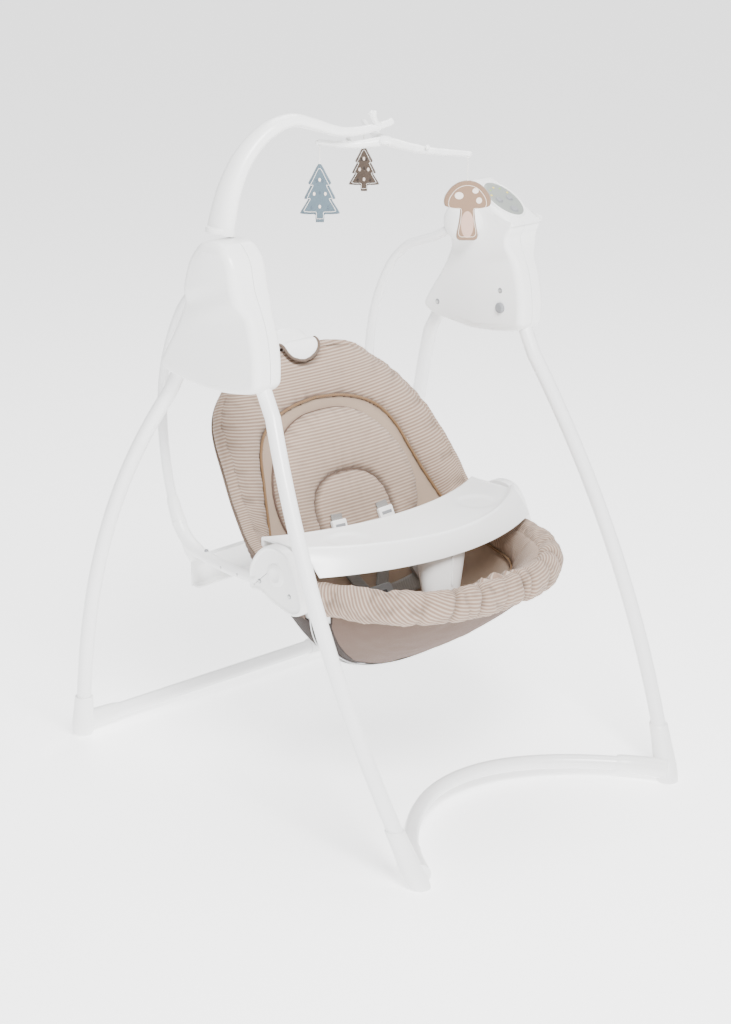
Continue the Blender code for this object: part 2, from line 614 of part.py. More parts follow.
def build_seat():
    """Shell, pad, insert, skirt, harness and recline lever."""
    shell = bowl_sheet("seat_shell", (0, 16), (-9, 9), -SHELL_WALL, 0.0, "white_plastic", "recline_axis")
    for side in (-1, 1):
        ear = box("tool", (side * 0.2500 - 0.0033, RECLINE_Y - 0.018, RECLINE_Z - 0.022),
                  (side * 0.2500 + 0.0033, RECLINE_Y + 0.018, RECLINE_Z + 0.009), "white_plastic",
                  "recline_axis")
        boolean(shell, ear, "UNION")
        boolean(shell, turned("tool", (side * 0.2500, RECLINE_Y, RECLINE_Z), (side, 0, 0),
                              [(0, 0.0090), (0.0130, 0.0090)], 14, "white_plastic", "recline_axis"), "UNION")
    start, tip = Vector((0, 0.1935, 0.699)), Vector((0, 0.224, 0.736))
    across = Vector((1, 0, 0))
    rise = across.cross((tip - start).normalized())
    tab = []
    for share, half in ((0, 0.040), (0.6, 0.040), (0.9, 0.032), (1, 0.022)):
        tab.append(circle(start + (tip - start) * share, across, rise, half, 12, 0.0045))
    boolean(shell, piece("tool", *loft(tab), "white_plastic", "recline_axis"), "UNION")
    bowl_sheet("seat_pad", (0, 16), (-10, 10), 0.0008, PAD_THICK, "stripe_fabric", "recline_axis")
    bowl_sheet("infant_insert", (2, 8), (-4, 4), PAD_THICK + 0.0008, PAD_THICK + 0.020, "insert_fabric",
               "recline_axis")
    bowl_sheet("seat_skirt", (11, 16), (-8, 8), -SHELL_WALL - 0.0040, -SHELL_WALL - 0.0010,
               "skirt_fabric", "recline_axis")
    for tag, columns in (("l", (-2, -1)), ("r", (1, 2))):
        bowl_sheet(f"shoulder_strap_{tag}", (5, 8), columns, PAD_THICK + 0.0212, PAD_THICK + 0.0240,
                   "webbing", "recline_axis")
    middle = bowl_offset(0.585, 0, PAD_THICK + 0.020)
    box("harness_buckle", middle - Vector((0.026, 0.012, 0.010)), middle + Vector((0.026, 0.012, 0.016)),
        "grey_plastic", "recline_axis")
    lever = along(KEEL, 0.36)
    hold = Vector((0, lever[0] + 0.026, lever[1] - 0.020))
    rings = []
    for depth, half in ((0.0, 0.030), (0.010, 0.040), (0.055, 0.034), (0.060, 0.028)):
        centre = hold + Vector((0, 0.45 * depth, -depth))
        rings.append([centre + Vector((x, y, 0)) for x, y in ((-half, -0.005), (half, -0.005), (half, 0.005),
                                                              (-half, 0.005))])
    piece("recline_lever", *loft(rings), "grey_plastic", "lever_axis", smooth=False)


# ------------------------------------------------------------------ tray
def build_tray():
    """Crescent tray with a front wall, two cup recesses and a crotch post under it."""
    stations = 20
    rings = []
    for i in range(stations + 1):
        x = 0.2460 * (2 * i / stations - 1)
        front_low = -0.208 + 1.12 * x * x
        front = -0.203 + 1.60 * x * x + 1.1 * x ** 4
        rear = -0.057 + 0.90 * x * x + 2.0 * x ** 4
        section = [(front_low, 0.4300), (front, 0.4700), (front + 0.005, 0.4735), (front + 0.012, 0.4700),
                   (front + 0.018, 0.4650), (rear - 0.012, 0.4650), (rear - 0.004, 0.4655), (rear, 0.4620),
                   (rear, 0.4440), (rear - 0.003, 0.4440), (rear - 0.004, 0.4620), (front + 0.010, 0.4620),
                   (front + 0.003, 0.4680), (front_low + 0.003, 0.4300)]
        rings.append([Vector((x, y, z)) for y, z in section])
    piece("tray", *loft(rings), "white_plastic", "tray_axis")
    centre_y = -0.170
    levels = [(0.4610, 0.056, 0.0265), (0.4400, 0.054, 0.0265), (0.3550, 0.038, 0.025), (0.3350, 0.028, 0.018)]
    outer = [circle(Vector((0, centre_y, z)), Vector((1, 0, 0)), Vector((0, 1, 0)), a, 18, b)
             for z, a, b in levels]
    inner = [circle(Vector((0, centre_y, z + (0.003 if z < 0.34 else 0))), Vector((1, 0, 0)),
                    Vector((0, 1, 0)), a - 0.0025, 18, b - 0.0025) for z, a, b in reversed(levels)]
    piece("tray_post", *loft(list(reversed(outer)) + list(reversed(inner))), "white_plastic", "tray_axis")


# ------------------------------------------------------------------ toy arm and mobile
TOY_ARM_ACROSS = (0, 1, 0)


def build_toy_arm():
    """Flat tapered arm that rises from the left hub and curves over the seat."""
    route = [(-0.295, 0.038, 0.9765), (-0.288, 0.036, 1.010), (-0.276, 0.033, 1.050), (-0.252, 0.028, 1.094),
             (-0.214, 0.020, 1.130), (-0.170, 0.010, 1.146), (-0.128, 0.000, 1.136), (-0.086, -0.011, 1.1215),
             (-0.045, -0.020, 1.1190), (0.000, -0.032, 1.1260), (0.012, -0.034, 1.1300)]
    path = smooth_path(route, 1)
    rings = []
    for i, (p, (wide_way, thick_way)) in enumerate(zip(path, ring_frames(path, TOY_ARM_ACROSS))):
        share = i / (len(path) - 1)
        wide = 0.0215 * (1 - share) ** 1.2 + 0.0062
        thick = 0.0125 * (1 - share) + 0.0055
        rings.append(circle(p, thick_way, wide_way, wide, 12, thick))
    piece("toy_arm", *loft(rings), "white_plastic", "toy_arm_axis")


TWIGS = (("l", Vector((-0.096, 0.022, 1.1010))), ("b", Vector((0.064, 0.088, 1.1080))),
         ("r", Vector((0.056, -0.166, 1.0880))))


def build_mobile():
    """Twig-like mobile of three branches, each with a toy on a short string."""
    body = turned("mobile_body", MOBILE + Vector((0, 0, -0.012)), (0, 0, 1),
                  [(0, 0.010), (0.004, 0.016), (0.0100, 0.014), (0.0150, 0.006)], 16,
                  "white_plastic", "mobile_axis")
    for tag, tip in TWIGS:
        mid = (MOBILE + tip) / 2 + Vector((0, 0, -0.008))
        start = MOBILE + (tip - MOBILE) * 0.04 + Vector((0, 0, -0.006))
        path = smooth_path([start, mid, tip + (tip - mid).normalized() * 0.006], 3)
        frames = ring_frames(path, UP)
        radii = [0.0085 - 0.0040 * i / (len(path) - 1) for i in range(len(path))]
        rings = [circle(p, *f, r, 8) for p, f, r in zip(path, frames, radii)]
        boolean(body, piece("tool", *loft(rings), "white_plastic", "mobile_axis"), "UNION")
    sizes = {"l": ("toy_tree_tall", 0.030, 0.096, "toy_blue"), "b": ("toy_tree_small", 0.036, 0.076, "toy_brown"),
             "r": ("toy_mushroom", 0.038, 0.098, "toy_tan")}
    for tag, tip in TWIGS:
        name, drop, height, slot = sizes[tag]
        on = f"{name}_axis"
        top = tip - Vector((0, 0, 0.0052))
        string_path = [top - Vector((0, 0, drop * i / 6)) for i in range(7)]
        curve = bpy.data.curves.new(f"string_{tag}", "CURVE")
        curve.dimensions = "3D"
        curve.bevel_depth = 0.0009
        curve.bevel_resolution = 2
        curve.use_fill_caps = True
        spline = curve.splines.new("POLY")
        spline.points.add(len(string_path) - 1)
        for point, place in zip(spline.points, string_path):
            point.co = (*(place - EMPTIES[on][1]), 1)
        curve.materials.append(material("string"))
        string = bpy.data.objects.new(f"toy_string_{tag}", curve)
        bpy.context.scene.collection.objects.link(string)
        string.parent = EMPTIES[on][0]
        outline = MUSHROOM if tag == "r" else TREE
        facing = Vector((math.cos(math.radians(-43)), math.sin(math.radians(-43)), 0))
        middle = top - Vector((0, 0, drop + GAP))
        depth = Vector((-facing.y, facing.x, 0))
        rings = []
        for level, shrink in ((-0.0060, 0.86), (-0.0035, 1.0), (0.0035, 1.0), (0.0060, 0.86)):
            ring = []
            for a, b in outline:
                ring.append(middle + facing * (a * height * shrink) + depth * level
                            - Vector((0, 0, height * (0.5 + (b - 0.5) * (1.0 if level in (-0.0035, 0.0035)
                                                                            else 0.94)))))
            rings.append(ring)
        piece(name, *loft(rings), slot, on)


def both_sides(half):
    """A closed outline from its right half, as (half width, depth below the top)."""
    return half + [(-a, b) for a, b in reversed(half) if a > 1e-6]


TREE = both_sides([(0.02, 0.0), (0.13, 0.20), (0.19, 0.31), (0.14, 0.33), (0.26, 0.57), (0.20, 0.60),
                   (0.33, 0.84), (0.08, 0.86), (0.07, 1.0)])
MUSHROOM = both_sides([(0.04, 0.0), (0.19, 0.05), (0.32, 0.17), (0.39, 0.33), (0.37, 0.42), (0.13, 0.45),
                       (0.15, 0.75), (0.18, 0.93), (0.12, 1.0)])


# ------------------------------------------------------------------ the whole
def main():
    for obj in list(bpy.data.objects):
        bpy.data.objects.remove(obj, do_unlink=True)
    EMPTIES.clear()
    pivot("fold_axis", (0, FOLD_Y, FOLD_Z))
    pivot("swing_axis", (0, SWING_Y, SWING_Z))
    pivot("recline_axis", (0, RECLINE_Y, RECLINE_Z), "swing_axis")
    pivot("tray_axis", (0, TRAY_Y, TRAY_Z), "recline_axis")
    lever = along(KEEL, 0.36)
    pivot("lever_axis", (0, lever[0] + 0.026, lever[1] - 0.020), "recline_axis")
    pivot("toy_arm_axis", (TOY_ARM_X, TOY_ARM_Y, 0.977))
    pivot("mobile_axis", MOBILE, "toy_arm_axis")
    for name, (tag, tip) in zip(("toy_tree_tall", "toy_tree_small", "toy_mushroom"), TWIGS):
        pivot(f"{name}_axis", tip - Vector((0, 0, 0.0052)), "mobile_axis")
    pivot("gear_axis", (0.302, GEAR_Y, GEAR_Z))
    pivot("pinion_axis", (0.302, GEAR_Y - GEAR_MODULE * (GEAR_TEETH + PINION_TEETH) / 2, GEAR_Z))
    for name in ("power_button", "music_button", "timer_button"):
        pivot(f"{name}_axis", PANEL)
    place_snap_buttons()
    for tag, side in (("l", -1), ("r", 1)):
        pivot(f"fold_button_{tag}_axis", (side * 0.265, FOLD_Y + 0.012, FOLD_Z))
        pivot(f"snap_{tag}_axis", SNAP[tag][0], "swing_axis")
    build_stand()
    build_hubs()
    build_swing_frame()
    build_seat()
    build_tray()
    build_toy_arm()
    build_mobile()


main()
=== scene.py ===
"""The looks of the baby swing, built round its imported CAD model: metres, +Z up, the child faces -Y."""
import math

import bmesh
import bpy
import numpy as np
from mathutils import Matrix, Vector, noise


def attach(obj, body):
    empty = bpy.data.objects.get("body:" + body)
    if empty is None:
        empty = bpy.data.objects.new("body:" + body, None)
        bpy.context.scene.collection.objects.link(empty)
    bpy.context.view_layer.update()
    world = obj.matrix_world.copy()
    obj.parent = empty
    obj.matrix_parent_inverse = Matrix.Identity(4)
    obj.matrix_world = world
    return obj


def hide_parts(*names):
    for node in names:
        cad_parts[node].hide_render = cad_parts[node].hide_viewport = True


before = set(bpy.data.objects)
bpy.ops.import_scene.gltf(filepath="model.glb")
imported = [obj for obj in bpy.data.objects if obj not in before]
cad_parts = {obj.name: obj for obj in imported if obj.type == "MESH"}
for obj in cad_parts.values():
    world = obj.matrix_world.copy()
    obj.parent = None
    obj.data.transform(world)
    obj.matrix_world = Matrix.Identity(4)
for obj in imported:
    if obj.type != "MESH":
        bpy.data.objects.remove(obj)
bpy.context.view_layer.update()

# ------------------------------------------------------------------ dimensions shared with the CAD
HUB_X = 0.300
SWING = Vector((0.0, 0.036, 0.920))
FOLD = Vector((0.0, -0.050, 0.776))
RECLINE = Vector((0.0, -0.060, 0.390))
LEG_RADIUS = 0.0127
ARM_RADIUS = 0.0085
BASE_Z, BASE_ARCH = 0.022, 0.010
LEG_START = 0.044
FRONT_LEG_TOP, REAR_LEG_TOP = 0.7585, 0.806
MOBILE = Vector((0.0, -0.032, 1.104))
PANEL = Vector((0.3035, -0.0095, 0.9580))
PANEL_TILT = math.radians(30)
PANEL_N = Vector((0.0, -math.sin(PANEL_TILT), math.cos(PANEL_TILT)))
PANEL_A, PANEL_B = 0.045, 0.030
SEAT_HALF_WIDTH = 0.250
SHELL_WALL = 0.0035
SIDES = ((-1, "l"), (1, "r"))
X, Y, Z = Vector((1, 0, 0)), Vector((0, 1, 0)), Vector((0, 0, 1))
UP_AXIS = (0, 0, 1)

RIM = [(0.190, 0.706), (0.184, 0.657), (0.154, 0.612), (0.100, 0.552), (0.056, 0.492), (0.014, 0.440),
       (-0.050, 0.410), (-0.120, 0.400), (-0.190, 0.400), (-0.258, 0.400), (-0.305, 0.396)]
KEEL = [(0.190, 0.706), (0.172, 0.650), (0.145, 0.592), (0.115, 0.525), (0.084, 0.455), (0.044, 0.370),
        (-0.004, 0.282), (-0.060, 0.218), (-0.145, 0.254), (-0.235, 0.316), (-0.305, 0.396)]


# ------------------------------------------------------------------ materials
def colour(r, g, b):
    """An sRGB colour of 0 to 255 as the linear colour that a shader takes."""
    def linear(c):
        c /= 255
        return c / 12.92 if c <= 0.04045 else ((c + 0.055) / 1.055) ** 2.4
    return (linear(r), linear(g), linear(b), 1.0)


class Shader:
    """A material under construction: a Principled shader and the nodes that feed it."""

    def __init__(self, name, base, roughness, metallic=0.0, sheen=0.0, coat=0.0):
        self.material = bpy.data.materials.new(name)
        self.material.use_nodes = True
        self.tree = self.material.node_tree
        self.shader = self.tree.nodes["Principled BSDF"]
        self.shader.inputs["Base Color"].default_value = base
        self.shader.inputs["Roughness"].default_value = roughness
        self.shader.inputs["Metallic"].default_value = metallic
        self.shader.inputs["Sheen Weight"].default_value = sheen
        self.shader.inputs["Sheen Roughness"].default_value = 0.5
        self.shader.inputs["Coat Weight"].default_value = coat
        self.shader.inputs["Coat Roughness"].default_value = 0.15
        self.height = None

    def node(self, kind, **settings):
        made = self.tree.nodes.new(kind)
        for name, value in settings.items():
            setattr(made, name, value)
        return made

    def link(self, output, target):
        self.tree.links.new(output, target)

    def coordinates(self, attribute=None):
        if attribute:
            return self.node("ShaderNodeAttribute", attribute_name=attribute).outputs["Vector"]
        return self.node("ShaderNodeTexCoord").outputs["Object"]

    def noise(self, scale, detail=4.0, roughness=0.55, where=None):
        made = self.node("ShaderNodeTexNoise")
        made.inputs["Scale"].default_value = scale
        made.inputs["Detail"].default_value = detail
        made.inputs["Roughness"].default_value = roughness
        self.link(where or self.coordinates(), made.inputs["Vector"])
        return made.outputs["Fac"]

    def wave(self, where, scale, direction, distortion=0.0):
        made = self.node("ShaderNodeTexWave", wave_type="BANDS", bands_direction=direction)
        made.inputs["Scale"].default_value = scale
        made.inputs["Distortion"].default_value = distortion
        made.inputs["Detail"].default_value = 1.0
        self.link(where, made.inputs["Vector"])
        return made.outputs["Fac"]

    def math(self, operation, a, b):
        made = self.node("ShaderNodeMath", operation=operation)
        for socket, value in zip(made.inputs, (a, b)):
            if isinstance(value, (int, float)):
                socket.default_value = value
            else:
                self.link(value, socket)
        return made.outputs[0]

    def ramp(self, value, stops):
        made = self.node("ShaderNodeValToRGB")
        elements = made.color_ramp.elements
        while len(elements) < len(stops):
            elements.new(0.5)
        for element, (place, shade) in zip(elements, stops):
            element.position = place
            element.color = shade
        self.link(value, made.inputs["Fac"])
        return made.outputs["Color"]

    def mix(self, share, a, b):
        made = self.node("ShaderNodeMix", data_type="RGBA")
        for socket, value in ((made.inputs["Factor"], share), (made.inputs["A"], a), (made.inputs["B"], b)):
            if isinstance(value, (int, float, tuple)):
                socket.default_value = value
            else:
                self.link(value, socket)
        return made.outputs["Result"]

    def spread(self, value, low, high):
        made = self.node("ShaderNodeMapRange")
        made.inputs["To Min"].default_value = low
        made.inputs["To Max"].default_value = high
        self.link(value, made.inputs["Value"])
        return made.outputs["Result"]

    def bump(self, value, distance, strength=1.0):
        made = self.node("ShaderNodeBump")
        made.inputs["Distance"].default_value = distance
        made.inputs["Strength"].default_value = strength
        self.link(value, made.inputs["Height"])
        if self.height:
            self.link(self.height, made.inputs["Normal"])
        self.height = made.outputs["Normal"]
        self.link(self.height, self.shader.inputs["Normal"])

    def base(self, output):
        self.link(output, self.shader.inputs["Base Color"])

    def rough(self, output):
        self.link(output, self.shader.inputs["Roughness"])


def plastic(name, base, low, high, grain=900.0, depth=0.00004, coat=0.0):
    """Moulded plastic: a fine spark-eroded grain and slow changes in gloss and tone."""
    made = Shader(name, base, (low + high) / 2, coat=coat)
    slow = made.noise(9.0, 3.0)
    made.rough(made.spread(slow, low, high))
    dark = tuple(c * 0.965 for c in base[:3]) + (1.0,)
    made.base(made.mix(made.spread(made.noise(5.0, 2.0), 0.0, 1.0), base, dark))
    made.bump(made.noise(grain, 2.0), depth, 0.5)
    return made.material


def painted_tube(name, base):
    """Powder-coated tube: orange peel in a thin glossy coat."""
    made = Shader(name, base, 0.3, coat=0.25)
    made.rough(made.spread(made.noise(14.0, 3.0), 0.24, 0.36))
    dark = tuple(c * 0.97 for c in base[:3]) + (1.0,)
    made.base(made.mix(made.noise(7.0, 2.0), base, dark))
    made.bump(made.noise(420.0, 1.0), 0.00007, 0.45)
    return made.material


def metal(name, base, roughness):
    made = Shader(name, base, roughness, metallic=1.0)
    made.rough(made.spread(made.noise(160.0, 4.0), roughness * 0.8, roughness * 1.25))
    made.bump(made.noise(700.0, 2.0), 0.00003, 0.4)
    return made.material


WEAVE = "weave"              # vector attribute: metres across and along the cloth
THREAD = 1200.0              # threads per metre, in the wave texture's own scale
STRIPE_PITCH = 0.0057        # metres from stripe to stripe
FOLD_SHADE = "fold"          # float attribute of painted shade: 0 on open cloth, 1 at the bottom of a crease, where the cloth's colour is darkened


def woven(made, where, depth=0.00016):
    """Plain weave as bump: warp and weft threads over each other."""
    warp = made.wave(where, THREAD, "X", 1.0)
    weft = made.wave(where, THREAD, "Y", 1.0)
    made.bump(made.math("MULTIPLY", warp, weft), depth, 0.55)
    made.bump(made.noise(260.0, 3.0, 0.6, where), 0.0003, 0.35)


def striped_cloth(name, ground, stripe, soft):
    """Woven cotton with fine light stripes across it, and painted shade that darkens its colour in creases.
    """
    made = Shader(name, ground, 0.9, sheen=0.08)
    where = made.coordinates(WEAVE)
    bands = made.wave(where, 2 * math.pi / STRIPE_PITCH / 20, "Y", 0.12)
    lines = made.ramp(bands, [(0.50, (0, 0, 0, 1)), (0.74, (1, 1, 1, 1))])
    heather = made.noise(900.0, 2.0, 0.7, where)
    ground_mix = made.mix(made.spread(heather, 0.0, 1.0), ground, soft)
    striped = made.mix(made.math("MULTIPLY", lines, 0.85), ground_mix, stripe)
    slow = made.noise(6.0, 3.0)
    shade = made.mix(made.spread(slow, 0.90, 1.0), (0, 0, 0, 1), striped)
    # Painted shade: where the fold attribute marks a crease, the colour is mixed towards a quarter of the
    # ground colour.
    crease = made.node("ShaderNodeAttribute", attribute_name=FOLD_SHADE).outputs["Fac"]
    crease_shade_colour = tuple(c * 0.25 for c in ground[:3]) + (1.0,)
    made.base(made.mix(made.math("MULTIPLY", crease, 0.75), shade, crease_shade_colour))
    made.rough(made.spread(heather, 0.82, 0.95))
    woven(made, where)
    return made.material


def plain_cloth(name, ground, soft, depth=0.00018, sheen=0.15):
    """One-colour woven cloth with slubs."""
    made = Shader(name, ground, 0.9, sheen=sheen)
    where = made.coordinates(WEAVE)
    slub = made.noise(500.0, 3.0, 0.7, where)
    made.base(made.mix(made.spread(slub, 0.1, 0.9), ground, soft))
    made.rough(made.spread(slub, 0.82, 0.95))
    woven(made, where, depth)
    return made.material


def webbing_cloth(name, ground, soft):
    """Flat polyester webbing: coarse diagonal ribs."""
    made = Shader(name, ground, 0.7, sheen=0.1)
    where = made.coordinates(WEAVE)
    ribs = made.wave(where, 140.0, "DIAGONAL", 0.6)
    made.base(made.mix(made.spread(ribs, 0.0, 0.6), ground, soft))
    made.rough(made.spread(ribs, 0.6, 0.8))
    made.bump(ribs, 0.0004, 0.6)
    return made.material


def felt(name, ground, soft):
    """Printed felt: matted fibres, no weave."""
    made = Shader(name, ground, 0.95, sheen=0.3)
    fibres = made.noise(700.0, 6.0, 0.75)
    made.base(made.mix(made.spread(fibres, 0.0, 1.0), ground, soft))
    made.rough(made.spread(fibres, 0.85, 1.0))
    made.bump(fibres, 0.0004, 0.6)
    made.bump(made.noise(120.0, 3.0), 0.0005, 0.3)
    return made.material


M = {
    "white": plastic("moulded_white", colour(247, 247, 246), 0.26, 0.38, coat=0.15),
    "tube": painted_tube("powder_coat_white", colour(246, 246, 246)),
    "grey": plastic("moulded_grey", colour(138, 140, 143), 0.38, 0.5),
    "panel": plastic("panel_grey", colour(140, 145, 140), 0.3, 0.42, 1300.0),
    "yellow": plastic("button_yellow", colour(214, 196, 92), 0.3, 0.4),
    "green": plastic("lens_green", colour(150, 176, 110), 0.2, 0.3),
    "dark": plastic("dark_grey", colour(70, 70, 72), 0.4, 0.55),
    "steel": metal("steel", (0.60, 0.60, 0.60, 1.0), 0.3),
    "nylon": plastic("natural_nylon", colour(232, 230, 220), 0.45, 0.55),
    "board": plastic("circuit_board", colour(40, 96, 60), 0.4, 0.5),
    "stripe": striped_cloth("stripe_cloth", colour(137, 112, 95), colour(182, 165, 150),
                            colour(145, 121, 104)),
    "insert": striped_cloth("insert_cloth", colour(139, 115, 98), colour(180, 163, 148),
                            colour(147, 124, 107)),
    "liner": plain_cloth("liner_cloth", colour(149, 128, 110), colour(159, 138, 120)),
    "rim_cord": plain_cloth("rim_cord_cloth", colour(92, 76, 64), colour(102, 86, 74)),
    "skirt": plain_cloth("skirt_cloth", colour(88, 69, 58), colour(98, 78, 67), sheen=0.06),
    "binding": plain_cloth("binding_dark", colour(40, 31, 27), colour(50, 39, 34), sheen=0.02),
    "piping": plain_cloth("piping_golden", colour(112, 84, 54), colour(124, 95, 64), 0.0003),
    "webbing": webbing_cloth("webbing_grey", colour(122, 119, 116), colour(138, 135, 131)),
    "cover": plain_cloth("strap_cover", colour(142, 137, 133), colour(152, 147, 142)),
    "blue_felt": felt("felt_blue", colour(78, 94, 104), colour(89, 105, 115)),
    "blue_dark": felt("felt_blue_dark", colour(70, 84, 96), colour(80, 94, 105)),
    "brown_felt": felt("felt_brown", colour(72, 60, 51), colour(84, 70, 60)),
    "brown_dark": felt("felt_brown_dark", colour(50, 41, 35), colour(58, 48, 41)),
    "tan_felt": felt("felt_tan", colour(128, 101, 80), colour(138, 112, 91)),
    "cream_felt": felt("felt_cream", colour(222, 208, 196), colour(230, 217, 206)),
    "rose_felt": felt("felt_rose", colour(186, 152, 136), colour(194, 162, 147)),
    "string": plain_cloth("string_white", colour(226, 222, 216), colour(234, 230, 225)),
}


# ------------------------------------------------------------------ mesh helpers
def piece(name, vertices, faces, material, body, slot=None, sharp=40.0, replaced=None):
    """A mesh object that rides on a CAD body; replaced names the node that it stands for."""
    mesh = bpy.data.meshes.new(name)
    mesh.from_pydata([tuple(map(float, v)) for v in vertices], [], faces)
    mesh.validate()
    mesh.update()
    obj = bpy.data.objects.new(name, mesh)
    bpy.context.scene.collection.objects.link(obj)
    mesh.materials.append(M[material])
    mesh.shade_smooth()
    mesh.set_sharp_from_angle(angle=math.radians(sharp))
    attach(obj, body)
    if replaced:
        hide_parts(replaced)
    return obj


def loft(rings, capped=True, closed=False):
    """Vertices and faces of a skin through rings that all have as many points."""
    count = len(rings[0])
    vertices = [p for ring in rings for p in ring]
    faces = []
    last = len(rings) if closed else len(rings) - 1
    for i in range(last):
        a, b = i * count, ((i + 1) % len(rings)) * count
        for j in range(count):
            k = (j + 1) % count
            faces.append((a + j, a + k, b + k, b + j))
    if capped and not closed:
        faces.append(tuple(range(count))[::-1])
        top = (len(rings) - 1) * count
        faces.append(tuple(range(top, top + count)))
    return vertices, faces


def outward(obj):
    """Turns an object's faces outward."""
    work = bmesh.new()
    work.from_mesh(obj.data)
    bmesh.ops.recalc_face_normals(work, faces=work.faces)
    work.to_mesh(obj.data)
    work.free()
    return obj


def between(p0, p1, p2, p3, t):
    """The Catmull-Rom point at t between p1 and p2."""
    return 0.5 * (2 * p1 + (p2 - p0) * t + (2 * p0 - 5 * p1 + 4 * p2 - p3) * t ** 2
                  + (3 * p1 - p0 - 3 * p2 + p3) * t ** 3)


def skin(name, rings, material, body, slot=None, sharp=40.0, replaced=None, closed=False):
    """A closed piece skinned through rings of points."""
    return outward(piece(name, *loft(rings, closed=closed), material, body, slot, sharp, replaced))


def curve_through(points, steps):
    """Catmull-Rom curve through the points."""
    pts = [Vector(p) for p in points]
    pts = [2 * pts[0] - pts[1]] + pts + [2 * pts[-1] - pts[-2]]
    path = []
    for i in range(1, len(pts) - 2):
        p0, p1, p2, p3 = pts[i - 1:i + 3]
        for k in range(steps):
            t = k / steps
            path.append(between(p0, p1, p2, p3, t))
    path.append(pts[-2])
    return path


def frames_along(path, across=(1, 0, 0), closed=False):
    """Two cross directions at each point of a path."""
    across = Vector(across)
    frames = []
    count = len(path)
    for i in range(count):
        if closed:
            tangent = path[(i + 1) % count] - path[i - 1]
        else:
            tangent = path[min(i + 1, count - 1)] - path[max(i - 1, 0)]
        side = tangent.normalized().cross(across).normalized()
        frames.append((side, tangent.normalized().cross(side)))
    return frames


def circle(centre, side, up, radius, sides, radius_up=None):
    ring = []
    for j in range(sides):
        angle = 2 * math.pi * j / sides
        ring.append(centre + side * radius * math.cos(angle) + up * (radius_up or radius) * math.sin(angle))
    return ring


def tube(name, path, radius, material, body, slot=None, sides=28, across=(1, 0, 0), closed=False,
         replaced=None):
    """A round tube along a path; radius is one number or one for each point."""
    radii = radius if isinstance(radius, (list, tuple)) else [radius] * len(path)
    rings = [circle(p, *f, r, sides) for p, f, r in zip(path, frames_along(path, across, closed), radii)]
    return skin(name, rings, material, body, slot, replaced=replaced, closed=closed)


def turned(name, start, direction, profile, material, body, slot=None, sides=40, replaced=None):
    """A turned piece: profile is (distance along the axis, radius)."""
    axis = Vector(direction).normalized()
    side = axis.orthogonal().normalized()
    up = axis.cross(side)
    rings = [circle(Vector(start) + axis * d, side, up, max(r, 1e-5), sides) for d, r in profile]
    return skin(name, rings, material, body, slot, replaced=replaced)


def run_along(line):
    """Arc length at each point of an array of points."""
    return np.concatenate([[0], np.cumsum(np.linalg.norm(np.diff(line, axis=0), axis=1))])


def path_run(path):
    """Arc length at each point of a list of vectors."""
    return np.concatenate([[0], np.cumsum([(b - a).length for a, b in zip(path, path[1:])])])


def set_weave(obj, coordinates):
    """Stores the cloth coordinates that the weave and the stripes follow."""
    attribute = obj.data.attributes.new(WEAVE, "FLOAT_VECTOR", "POINT")
    flat = np.zeros((len(obj.data.vertices), 3), np.float32)
    flat[:, :2] = coordinates
    attribute.data.foreach_set("vector", flat.ravel())


def set_painted_crease_shade(obj, values):
    """Stores how deep in a crease each vertex lies, as the mask of the painted crease shade."""
    attribute = obj.data.attributes.new(FOLD_SHADE, "FLOAT", "POINT")
    attribute.data.foreach_set("value", np.clip(values, 0, 1).astype(np.float32).ravel())


def creases(heights, reach, depth):
    """How far each point of a height grid lies below its surroundings, 0 to 1; this sets the painted crease
    shade.
    """
    kernel = np.ones(2 * reach + 1) / (2 * reach + 1)
    soft = heights
    for axis in (0, 1):
        soft = np.apply_along_axis(lambda row: np.convolve(np.pad(row, reach, mode="edge"), kernel, "valid"),
                                   axis, soft)
    return np.clip((soft - heights) / depth, 0, 1)


def cloth_cord(name, path, radius, material, slot, sides, across, closed=False):
    """A cord of cloth along a seam or an edge of the seat."""
    weave_along(tube(name, path, radius, material, "seat", slot, sides, across, closed), path)


def weave_along(obj, path):
    """Cloth coordinates of a strap or a piping: across it, and along its path."""
    line = np.array([tuple(p) for p in path])
    run = run_along(line)
    co = points_of(obj)
    nearest = np.argmin(((co[:, None, :] - line[None]) ** 2).sum(2), axis=1)
    set_weave(obj, np.stack([co[:, 0], run[nearest]], 1))


def points_of(obj):
    flat = np.zeros(len(obj.data.vertices) * 3, np.float32)
    obj.data.vertices.foreach_get("co", flat)
    return flat.reshape(-1, 3).astype(float)


def smoothstep(t):
    t = np.clip(t, 0, 1)
    return t * t * (3 - 2 * t)


# ------------------------------------------------------------------ legs, feet and floor tubes
def front_leg_point(z):
    """Centre of the front leg at a height: it leans back and bows outward."""
    t = z / 0.607
    x = 0.299 + 0.1363 * t - 0.1173 * t * t
    y = -0.4305 + 0.2615 * t + 0.0426 * t * t - 0.0119 * t ** 3
    return Vector((max(x, 0.3005) if z > 0.6 else x, y, z))


def rear_leg_point(z):
    """Centre of the rear leg at a height."""
    t = z / 0.607
    x = 0.3131 + 0.1886 * t - 0.1747 * t * t
    y = 0.4305 - 0.3020 * t + 0.2273 * t * t - 0.1448 * t ** 3
    return Vector((max(x, 0.3005) if z > 0.6 else x, y, z))


def mirrored(point, side):
    return Vector((point[0] * side, point[1], point[2]))


def leg_line(rule, high, side, low=LEG_START, steps=72):
    return [mirrored(rule(low + (high - low) * i / steps), side) for i in range(steps + 1)]


def front_base_line():
    """The front floor tube's centre line, from left to right."""
    half = [(0.299, -0.431), (0.276, -0.3935), (0.252, -0.362), (0.2035, -0.313), (0.150, -0.272),
            (0.090, -0.2405), (0.030, -0.2255)]
    arch = [(x, y, BASE_Z + BASE_ARCH * (1 - (x / half[0][0]) ** 2)) for x, y in half]
    points = [Vector((-x, y, z)) for x, y, z in arch] + [Vector((x, y, z)) for x, y, z in reversed(arch)]
    return curve_through(points, 10)


